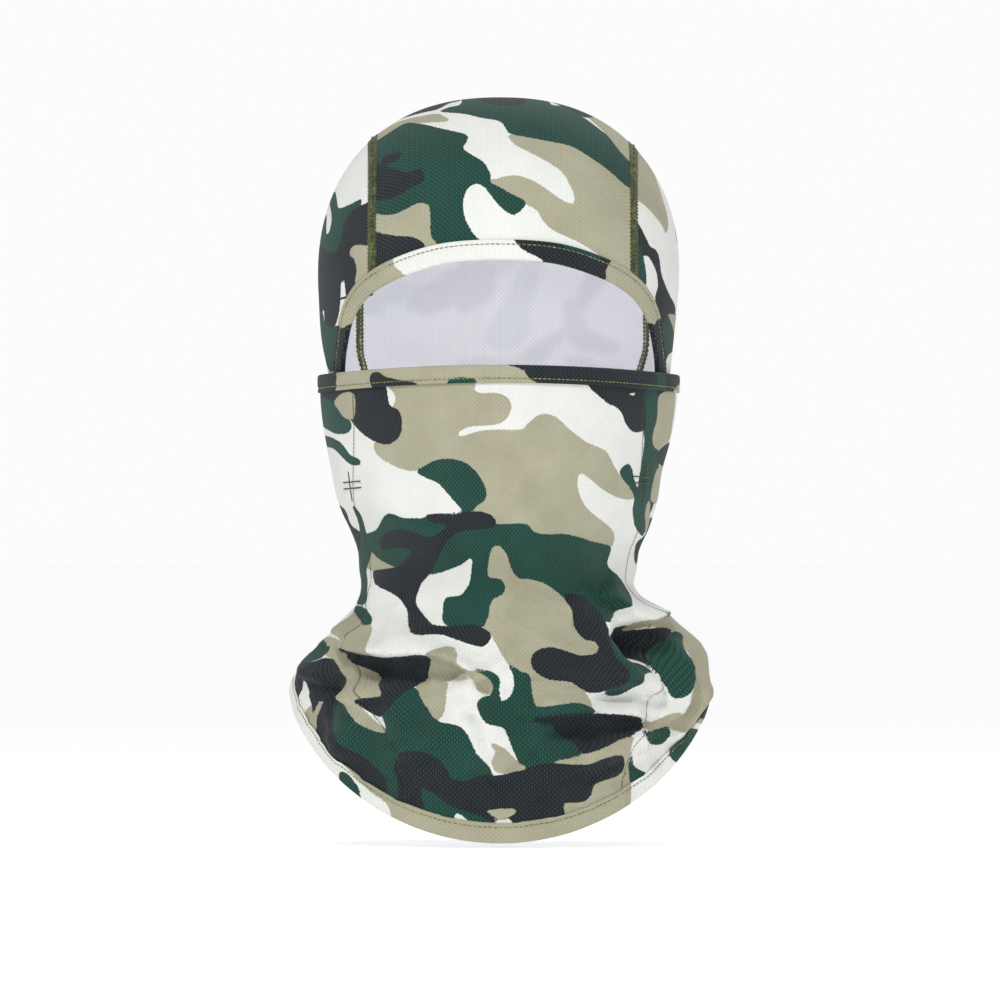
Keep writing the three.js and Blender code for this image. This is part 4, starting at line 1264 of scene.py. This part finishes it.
class BALACLAVA_OT_hems(bpy.types.Operator):
    """Make the brow hem, the face band and the bottom hem, each folded in two"""
    bl_idname = "balaclava.hems"
    bl_label = "Hems"

    def execute(self, context):
        plain = lambda x, z: np.stack([x, z], -1)
        by_front = lambda s, a, at: np.stack([at[..., 0], at[..., 2]], -1)
        never = lambda at, size: False
        hem_strip("brow_hem_cloth", "brow_hem", brow_surface, BROW_HEM_WIDE, 300,
                  inks_at(BROW_PRINT, plain, 1, never), ROOT, "stretched", by_front)
        band_turn = lambda s: band_turns()[0] * (1 - 2 * s)
        by_turn = lambda s, a, at: np.stack([band_turn(s) * TURN_MM, band_top(band_turn(s)) - a], -1)
        hem_strip("face_band_cloth", "face_hem", band_surface, 7.8, 300,
                  inks_at(BAND_PRINT, tube_place, 2, lambda at, size: abs(at[0]) > 140), COVER, "stretched", by_turn)
        around = lambda s, a, at: np.stack([np.pi * (2 * s - 1) * TURN_MM, hem_edge(np.pi * (2 * s - 1)) + a], -1)
        hem_strip("bottom_hem_cloth", "bottom_hem", bottom_surface, HEM_TALL, 460,
                  inks_at(HEM_PRINT, tube_place, 3, lambda at, size: abs(at[0]) > 128), ROOT, "gathered", around)
        return {"FINISHED"}


class BALACLAVA_OT_elastics(bpy.types.Operator):
    """Make the elastic tapes that lie inside the brow hem and the face band"""
    bl_idname = "balaclava.elastics"
    bl_label = "Elastics"

    def execute(self, context):
        f = finishes()
        for name, node, surface, body in (("brow_tape", "brow_elastic", brow_surface, ROOT),
                                          ("face_band_tape", "face_elastic", band_surface, COVER)):
            s = np.linspace(0.025, 0.975, 220)
            points = np.stack([surface(s, np.full_like(s, a)) for a in np.linspace(1.6, 5.2, 5)])
            uv = np.stack([np.broadcast_to(s * 260, points.shape[:2]),
                           np.broadcast_to(np.linspace(0, 4, 5)[:, None], points.shape[:2])], -1)
            piece = cloth(name, points, uv, {}, (f["elastic"], f["elastic"]), thick=0.4, flip=outward(points))
            dress(piece, node, body=body)
        return {"FINISHED"}


# ---------------------------------------------------------------- stitches
def stitch_tree():
    """A tree that lays one row of stitches along a line. Its stitch is a small bead, scaled and turned."""
    tree = bpy.data.node_groups.new("stitch_row", "GeometryNodeTree")
    face = tree.interface
    face.new_socket("Line", in_out="INPUT", socket_type="NodeSocketGeometry")
    names = ("Pitch", "Length", "Width", "Height", "Lean", "Aside", "Lift", "Shift")
    for name in names:
        face.new_socket(name, in_out="INPUT", socket_type="NodeSocketFloat")
    face.new_socket("Thread", in_out="INPUT", socket_type="NodeSocketMaterial")
    face.new_socket("Stitches", in_out="OUTPUT", socket_type="NodeSocketGeometry")
    add, join = tree.nodes.new, tree.links.new
    given = add("NodeGroupInput").outputs

    def node(kind, inputs=None, **settings):
        made = add(kind)
        for key, value in settings.items():
            setattr(made, key, value)
        for key, value in (inputs or {}).items():
            if isinstance(value, bpy.types.NodeSocket):
                join(value, made.inputs[key])
            else:
                made.inputs[key].default_value = value
        return made

    curve = node("GeometryNodeMeshToCurve", {0: given["Line"]}).outputs[0]
    rows = node("GeometryNodeResampleCurve", {"Curve": curve, "Length": given["Pitch"]}, mode="LENGTH").outputs[0]
    tangent = node("GeometryNodeInputTangent").outputs[0]
    normal = node("GeometryNodeInputNamedAttribute", {0: "lie"}, data_type="FLOAT_VECTOR").outputs[0]
    side = node("ShaderNodeVectorMath", {0: normal, 1: tangent}, operation="CROSS_PRODUCT").outputs[0]
    moves = [node("ShaderNodeVectorMath", {0: side, "Scale": given["Aside"]}, operation="SCALE").outputs[0],
             node("ShaderNodeVectorMath", {0: normal, "Scale": given["Lift"]}, operation="SCALE").outputs[0],
             node("ShaderNodeVectorMath", {0: tangent, "Scale": given["Shift"]}, operation="SCALE").outputs[0]]
    total = node("ShaderNodeVectorMath", {0: moves[0], 1: moves[1]}, operation="ADD").outputs[0]
    total = node("ShaderNodeVectorMath", {0: total, 1: moves[2]}, operation="ADD").outputs[0]
    upright = node("FunctionNodeAlignRotationToVector", {"Vector": normal}, axis="Z").outputs[0]
    facing = node("FunctionNodeAlignRotationToVector", {"Rotation": upright, "Vector": tangent}, axis="X",
                  pivot_axis="Z").outputs[0]
    uneven = node("FunctionNodeRandomValue", {2: -0.09, 3: 0.09, "Seed": 4}, data_type="FLOAT").outputs[1]
    lean = node("ShaderNodeMath", {0: given["Lean"], 1: uneven}, operation="ADD").outputs[0]
    twist = node("FunctionNodeAxisAngleToRotation", {"Axis": (0, 0, 1), "Angle": lean}).outputs[0]
    turned = node("FunctionNodeRotateRotation", {"Rotation": facing, "Rotate By": twist},
                  rotation_space="LOCAL").outputs[0]
    size = node("ShaderNodeCombineXYZ", {0: given["Length"], 1: given["Width"], 2: given["Height"]}).outputs[0]
    bead = node("GeometryNodeMeshUVSphere", {"Segments": 8, "Rings": 4, "Radius": 0.5}).outputs[0]
    beads = node("GeometryNodeInstanceOnPoints", {"Points": rows, "Instance": bead, "Rotation": turned,
                                                  "Scale": size}).outputs[0]
    placed = node("GeometryNodeTranslateInstances", {"Instances": beads, "Translation": total,
                                                     "Local Space": False}).outputs[0]
    real = node("GeometryNodeRealizeInstances", {0: placed}).outputs[0]
    smooth = node("GeometryNodeSetShadeSmooth", {0: real}).outputs[0]
    painted = node("GeometryNodeSetMaterial", {0: smooth, "Material": given["Thread"]}).outputs[0]
    join(painted, add("NodeGroupOutput").inputs[0])
    return tree


def stitched(name, line, normals, rows):
    """Rows of stitches along a line of points in millimetres. Each row is a thread and its sizes."""
    tree = bpy.data.node_groups.get("stitch_row") or stitch_tree()
    ids = {item.name: item.identifier for item in tree.interface.items_tree if item.in_out == "INPUT"}
    meshes = []
    for k, row in enumerate(rows):
        mesh = bpy.data.meshes.new(f"{name}_line_{k}")
        mesh.from_pydata((line * MM).tolist(), [(i, i + 1) for i in range(len(line) - 1)], [])
        lie = mesh.attributes.new("lie", "FLOAT_VECTOR", "POINT")
        lie.data.foreach_set("vector", normals.astype(np.float32).ravel())
        guide = link(f"{name}_line_{k}", mesh)
        modifier = guide.modifiers.new("stitches", "NODES")
        modifier.node_group = tree
        for key, value in row.items():
            modifier[ids[key]] = finishes()[value] if key == "Thread" else value * (1 if key == "Lean" else MM)
        ready = guide.evaluated_get(bpy.context.evaluated_depsgraph_get())
        meshes.append(bpy.data.meshes.new_from_object(ready))
        guide.modifiers.clear()
        bpy.data.objects.remove(guide)
    piece = link(name, meshes[0])
    others = [link(f"{name}_row_{k}", mesh) for k, mesh in enumerate(meshes[1:])]
    if others:
        with bpy.context.temp_override(active_object=piece, object=piece, selected_objects=[piece, *others],
                                       selected_editable_objects=[piece, *others]):
            bpy.ops.object.join()
    for key in [a.name for a in piece.data.attributes if a.name in ("lie", "UVMap")]:
        piece.data.attributes.remove(piece.data.attributes[key])
    return piece


def stitch_row(thread, pitch, length, width, height, lean=0.0, aside=0.0, lift=0.0, shift=0.0):
    return {"Thread": thread, "Pitch": pitch, "Length": length, "Width": width, "Height": height, "Lean": lean,
            "Aside": aside, "Lift": lift, "Shift": shift}


def braid(pitch, low=-0.1, pale="fleck"):
    """A flat covering stitch: two ribs of leaning loops over a bed of dark thread."""
    step = pitch * 1.25
    rows = [stitch_row("dark", step, step * 1.7, 6.6, 0.8, 0.0, 0.0, low)]
    for aside, thread, lean in ((2.55, pale, -0.75), (1.35, pale, 0.75), (0.1, "thread", -0.75),
                                (-1.1, "thread", 0.75), (-2.3, "thread", -0.75)):
        rows.append(stitch_row(thread, step, 1.75, 0.55, 1.0, lean, aside, 0.42 + low))
    return rows


def chain(pitch, pale="cream"):
    """The inner face of the covering stitch: three columns of loops."""
    step = pitch * 1.3
    rows = [stitch_row("dark", step, step * 1.6, 6.8, 0.5, 0, 0, 0.1)]
    for aside in (-2.3, 0.0, 2.3):
        rows.append(stitch_row(pale, step, 1.5, 0.55, 0.7, 0.65, aside - 0.5, 0.4))
        rows.append(stitch_row(pale, step, 1.5, 0.55, 0.7, -0.65, aside + 0.5, 0.4))
    return rows


class BALACLAVA_OT_crown_seams(bpy.types.Operator):
    """Make the two crown seams: the flat covering stitch outside, and its loops inside"""
    bl_idname = "balaclava.crown_seams"
    bl_label = "Crown seams"

    def execute(self, context):
        pitch = context.scene.camo_sizes.stitch_pitch / MM
        edge_x, edge_z = brow_line()
        for name, x in zip(("left", "right"), CROWN_SEAM_X):
            start = np.interp(abs(x), edge_x, edge_z) + 3
            front = hood_front(np.array([x]), np.array([start]))[0]
            first = crown_angle(front[1], front[2])
            side = hood_section(np.array([NAPE_Z + 1.0]))
            y = side[3][0] * math.sqrt(max(0, 1 - (x / side[0 if x < 0 else 1][0]) ** 2))
            last = crown_angle(y, NAPE_Z + 1) % (2 * np.pi)
            angle = np.linspace(first, last, 260)
            direction = np.stack([np.zeros_like(angle), -np.cos(angle), np.sin(angle)], -1)
            centre = np.stack([crown_seam_x(np.sign(x), angle), np.zeros_like(angle), np.full_like(angle, 5)], -1)
            line = hood_reach(direction, centre)
            beside = hood_reach(direction, centre + np.array([0.5 if x < 0 else -0.5, 0, 0]))
            run = np.gradient(line, axis=0)
            normal = np.cross(run, beside - line) * (-1 if x < 0 else 1)
            normal /= np.linalg.norm(normal, axis=1, keepdims=True)
            if (normal * (line - np.array([0, 0, 5]))).sum() < 0:
                normal = -normal
            outer = stitched(f"crown_braid_{name}", line, normal, braid(pitch if x < 0 else pitch))
            dress(outer, f"crown_seam_{name}")
            inner = stitched(f"crown_loops_{name}", line - normal * CLOTH, -normal, chain(pitch))
            dress(inner, f"crown_seam_inside_{name}")
        return {"FINISHED"}


def tube_line(turn, z):
    """A line over the folded tube, with its outward normals."""
    points = folded(tube_point(turn, z), turn)
    step = 0.01
    beside = folded(tube_point(turn + step, z), turn + step) - points
    run = np.gradient(points, axis=0)
    normal = np.cross(run, beside)
    normal /= np.maximum(np.linalg.norm(normal, axis=1, keepdims=True), 1e-9)
    away = np.stack([np.sin(turn), -np.cos(turn), np.zeros_like(turn)], -1)
    normal *= np.sign((normal * away).sum(1, keepdims=True))
    return points, normal


class BALACLAVA_OT_long_seams(bpy.types.Operator):
    """Make the front, back, nape and ear seams"""
    bl_idname = "balaclava.long_seams"
    bl_label = "Long seams"

    def execute(self, context):
        pitch = context.scene.camo_sizes.stitch_pitch / MM
        fine = [stitch_row("dark", pitch * 1.4, 2.1, 0.34, 0.36, 0.0, 0.0, 0.0)]
        flat = [stitch_row("dark", pitch, pitch * 1.7, 2.6, 0.5, 0, 0, -0.1),
                stitch_row("thread", pitch, 1.6, 0.5, 0.6, 0.7, 0.6, 0.15),
                stitch_row("thread", pitch, 1.6, 0.5, 0.6, -0.7, -0.6, 0.15, pitch / 2)]
        for name, sign in (("left", -1), ("right", 1)):
            z = np.linspace(float(band_top(np.array(sign * 0.95))) - 9, -205, 260)
            turn = front_seam_turn(z, sign)
            low = hem_edge(turn) + 8
            z = np.linspace(z[0], float(low[-1]), 260)
            turn = front_seam_turn(z, sign)
            points, normal = tube_line(turn, z)
            dress(stitched(f"front_seam_stitches_{name}", points, normal, fine), f"front_seam_{name}",
                  cross=True)
            z = np.linspace(NAPE_Z - 1, -185, 220)
            turn = back_seam_turn(z, sign)
            z = np.linspace(NAPE_Z - 1, float(hem_edge(turn)[-1]) + 8, 220)
            turn = back_seam_turn(z, sign)
            points, normal = tube_line(turn, z)
            dress(stitched(f"back_seam_stitches_{name}", points, normal, flat), f"back_seam_{name}")
            z = np.linspace(-34, NAPE_Z, 60)
            turn = sign * (np.pi / 2 + np.arcsin((BAND_END_Y - 1) / tube_section(z)[3]))
            points, normal = tube_line(turn, z)
            dress(stitched(f"ear_seam_stitches_{name}", points, normal, flat), f"ear_seam_{name}",
                  cross=True)
        z = np.full(300, NAPE_Z + 0.0)
        turn = np.linspace(np.pi / 2 + 0.25, 3 * np.pi / 2 - 0.25, 300)
        points, normal = tube_line(turn, z)
        dress(stitched("nape_seam_stitches", points + normal * 0.3, normal, flat), "nape_seam")
        return {"FINISHED"}


class BALACLAVA_OT_topstitches(bpy.types.Operator):
    """Make the topstitches of the brow hem, the face band and the bottom hem"""
    bl_idname = "balaclava.topstitches"
    bl_label = "Topstitches"

    def execute(self, context):
        pitch = context.scene.camo_sizes.topstitch_pitch / MM
        for name, node, surface, wide, body, count, ends in (
                ("brow_topstitch_thread", "brow_topstitch", brow_surface, BROW_HEM_WIDE, ROOT, 400, 0.004),
                ("band_topstitch_thread", "face_topstitch", band_surface, 7.8, COVER, 400, 0.004),
                ("bottom_topstitch_thread", "bottom_topstitch", bottom_surface, HEM_TALL, ROOT, 600, 0.0)):
            s = np.linspace(ends, 1 - ends, count)
            at, beside = (surface(s, np.full_like(s, wide - 1.9 + d)) for d in (0, 0.4))
            normal = np.cross(np.gradient(at, axis=0), beside - at)
            normal /= np.linalg.norm(normal, axis=1, keepdims=True)
            middle = np.array([0, 0, at[:, 2].mean()])
            if (normal * (at - middle)).sum() < 0:
                normal = -normal
            row = [stitch_row("thread", pitch, pitch * 0.86, 0.55, 0.55, 0.0, 0.0, 0.62)]
            dress(stitched(name, at, normal, row), node, body=body)
        return {"FINISHED"}


TACK_TURN = 1.08  # turn of each side tack from the front


class BALACLAVA_OT_tacks(bpy.types.Operator):
    """Make the two side tacks under the band's ends"""
    bl_idname = "balaclava.tacks"
    bl_label = "Side tacks"

    def execute(self, context):
        for name, sign, z in (("left", -1, TACK_Z), ("right", 1, TACK_Z + 3.5)):
            bars = [((-sign * -1.2, 5.5), (sign * 1.4, -6.0), 0.9)]
            for drop in (0.9, -1.8):
                bars.append(((-6.0, drop + sign * -0.4), (5.0, drop + 1.0 * -sign), 0.6))
            meshes = []
            for (dx0, dz0), (dx1, dz1), wide in bars:
                s = np.linspace(0, 1, 40)
                pz = z + dz0 + (dz1 - dz0) * s
                turn = sign * TACK_TURN + (dx0 + (dx1 - dx0) * s) * 1.7 / TURN_MM
                points, normal = tube_line(turn, pz)
                meshes.append(stitched(f"tack_bar_{name}_{len(meshes)}", points, normal,
                                       [stitch_row("dark", 0.8, 1.5, wide, 0.6, 0.25, 0.0, 0.1)]))
            piece = meshes[0]
            with bpy.context.temp_override(active_object=piece, object=piece, selected_objects=meshes,
                                           selected_editable_objects=meshes):
                bpy.ops.object.join()
            piece.name = f"side_tack_thread_{name}"
            dress(piece, f"side_tack_{name}", cross=True)
        return {"FINISHED"}


# ---------------------------------------------------------------- stage
def area_light(name, place, aim, size, power):
    light = bpy.data.lights.new(name, "AREA")
    light.shape, light.size, light.energy = "DISK", size, power
    lamp = link(name, light)
    lamp.location = place
    lamp.rotation_euler = (Vector(aim) - Vector(place)).to_track_quat("-Z", "Y").to_euler()
    return lamp


class BALACLAVA_OT_stage(bpy.types.Operator):
    """Make the pale floor, the soft lights and the camera"""
    bl_idname = "balaclava.stage"
    bl_label = "Stage"

    def execute(self, context):
        floor_z = CAD_BOX[0][2] - 0.0015
        ring = [(30 * math.cos(t), 30 * math.sin(t), floor_z) for t in np.linspace(0, 2 * math.pi, 65)[:-1]]
        mesh = bpy.data.meshes.new("studio_floor")
        mesh.from_pydata(ring, [], [tuple(range(64))])
        net = Net("studio_paper")
        place = net.node("ShaderNodeTexCoord", out="Object")
        colour = net.mix(net.noise(place, 3.0), (0.93, 0.93, 0.93, 1), (0.95, 0.95, 0.95, 1))
        paper = net.finish(colour, 0.9, net.noise(place, 900.0), 0.0001)
        shader = next(node for node in net.tree.nodes if node.type == "BSDF_PRINCIPLED")
        shader.inputs["Emission Color"].default_value = (1, 1, 1, 1)
        shader.inputs["Emission Strength"].default_value = 0.44
        mesh.materials.append(paper)
        link("studio_floor", mesh)
        world = bpy.data.worlds.new("studio_world")
        world.use_nodes = True
        nodes, wires = world.node_tree.nodes, world.node_tree.links
        glow, seen, path, mix = nodes["Background"], *(nodes.new(kind) for kind in (
            "ShaderNodeBackground", "ShaderNodeLightPath", "ShaderNodeMixShader"))
        for background, strength in ((glow, 0.55), (seen, 0.975)):
            background.inputs[0].default_value = (1, 1, 1, 1)
            background.inputs[1].default_value = strength
        wires.new(path.outputs["Is Camera Ray"], mix.inputs[0])
        wires.new(glow.outputs[0], mix.inputs[1])
        wires.new(seen.outputs[0], mix.inputs[2])
        wires.new(mix.outputs[0], nodes["World Output"].inputs[0])
        context.scene.world = world
        context.scene.view_settings.view_transform = "Standard"
        area_light("key_light", (-0.35, -1.1, 1.4), (0, 0, -0.08), 0.4, 13.5)
        area_light("fill_light", (1.1, -1.5, 0.35), (0, 0, -0.05), 1.0, 2.5)
        area_light("front_light", (0, -6.6, 0.5), (0, 0.1, 0.02), 0.7, 58)
        area_light("back_light", (0.3, 1.5, 1.2), (0, 0, 0), 1.0, 7)
        inside = area_light("inside_light", (0, -0.055, 0.052), (0, 0.09, 0.0), 0.05, 0.115)
        inside.visible_camera = False
        camera = bpy.data.cameras.new("front_camera")
        camera.sensor_width, camera.lens = 36, 36 * 7 / 0.43
        eye = link("front_camera", camera)
        camera.clip_end = 60
        eye.location = (0, -7, -0.0731)
        eye.rotation_euler = (math.pi / 2, 0, 0)
        context.scene.camera = eye
        return {"FINISHED"}


PIECE_OPERATORS = (BALACLAVA_OT_crown, BALACLAVA_OT_hood_sides, BALACLAVA_OT_face, BALACLAVA_OT_cheeks,
                   BALACLAVA_OT_neck_back, BALACLAVA_OT_hems, BALACLAVA_OT_elastics, BALACLAVA_OT_crown_seams,
                   BALACLAVA_OT_long_seams, BALACLAVA_OT_topstitches, BALACLAVA_OT_tacks, BALACLAVA_OT_stage)


class BALACLAVA_PT_panel(bpy.types.Panel):
    """Lists the balaclava's sizes, colours and pieces"""
    bl_idname = "BALACLAVA_PT_panel"
    bl_label = "Balaclava"
    bl_space_type = "VIEW_3D"
    bl_region_type = "UI"
    bl_category = "Balaclava"

    def draw(self, context):
        for group in (context.scene.camo_sizes, context.scene.camo_colours):
            box = self.layout.box()
            for key in group.bl_rna.properties.keys():
                if key not in ("rna_type", "name"):
                    box.prop(group, key)
        for operator in PIECE_OPERATORS:
            self.layout.operator(operator.bl_idname)


CLASSES = (CamoColours, CamoSizes, *PIECE_OPERATORS, BALACLAVA_PT_panel)


def register():
    for item in CLASSES:
        bpy.utils.register_class(item)
    bpy.types.Scene.camo_colours = bpy.props.PointerProperty(type=CamoColours)
    bpy.types.Scene.camo_sizes = bpy.props.PointerProperty(type=CamoSizes)


def unregister():
    del bpy.types.Scene.camo_sizes
    del bpy.types.Scene.camo_colours
    for item in reversed(CLASSES):
        bpy.utils.unregister_class(item)


def main():
    register()
    for operator in PIECE_OPERATORS:
        group, name = operator.bl_idname.split(".")
        getattr(getattr(bpy.ops, group), name)()


if __name__ == "__main__":
    main()
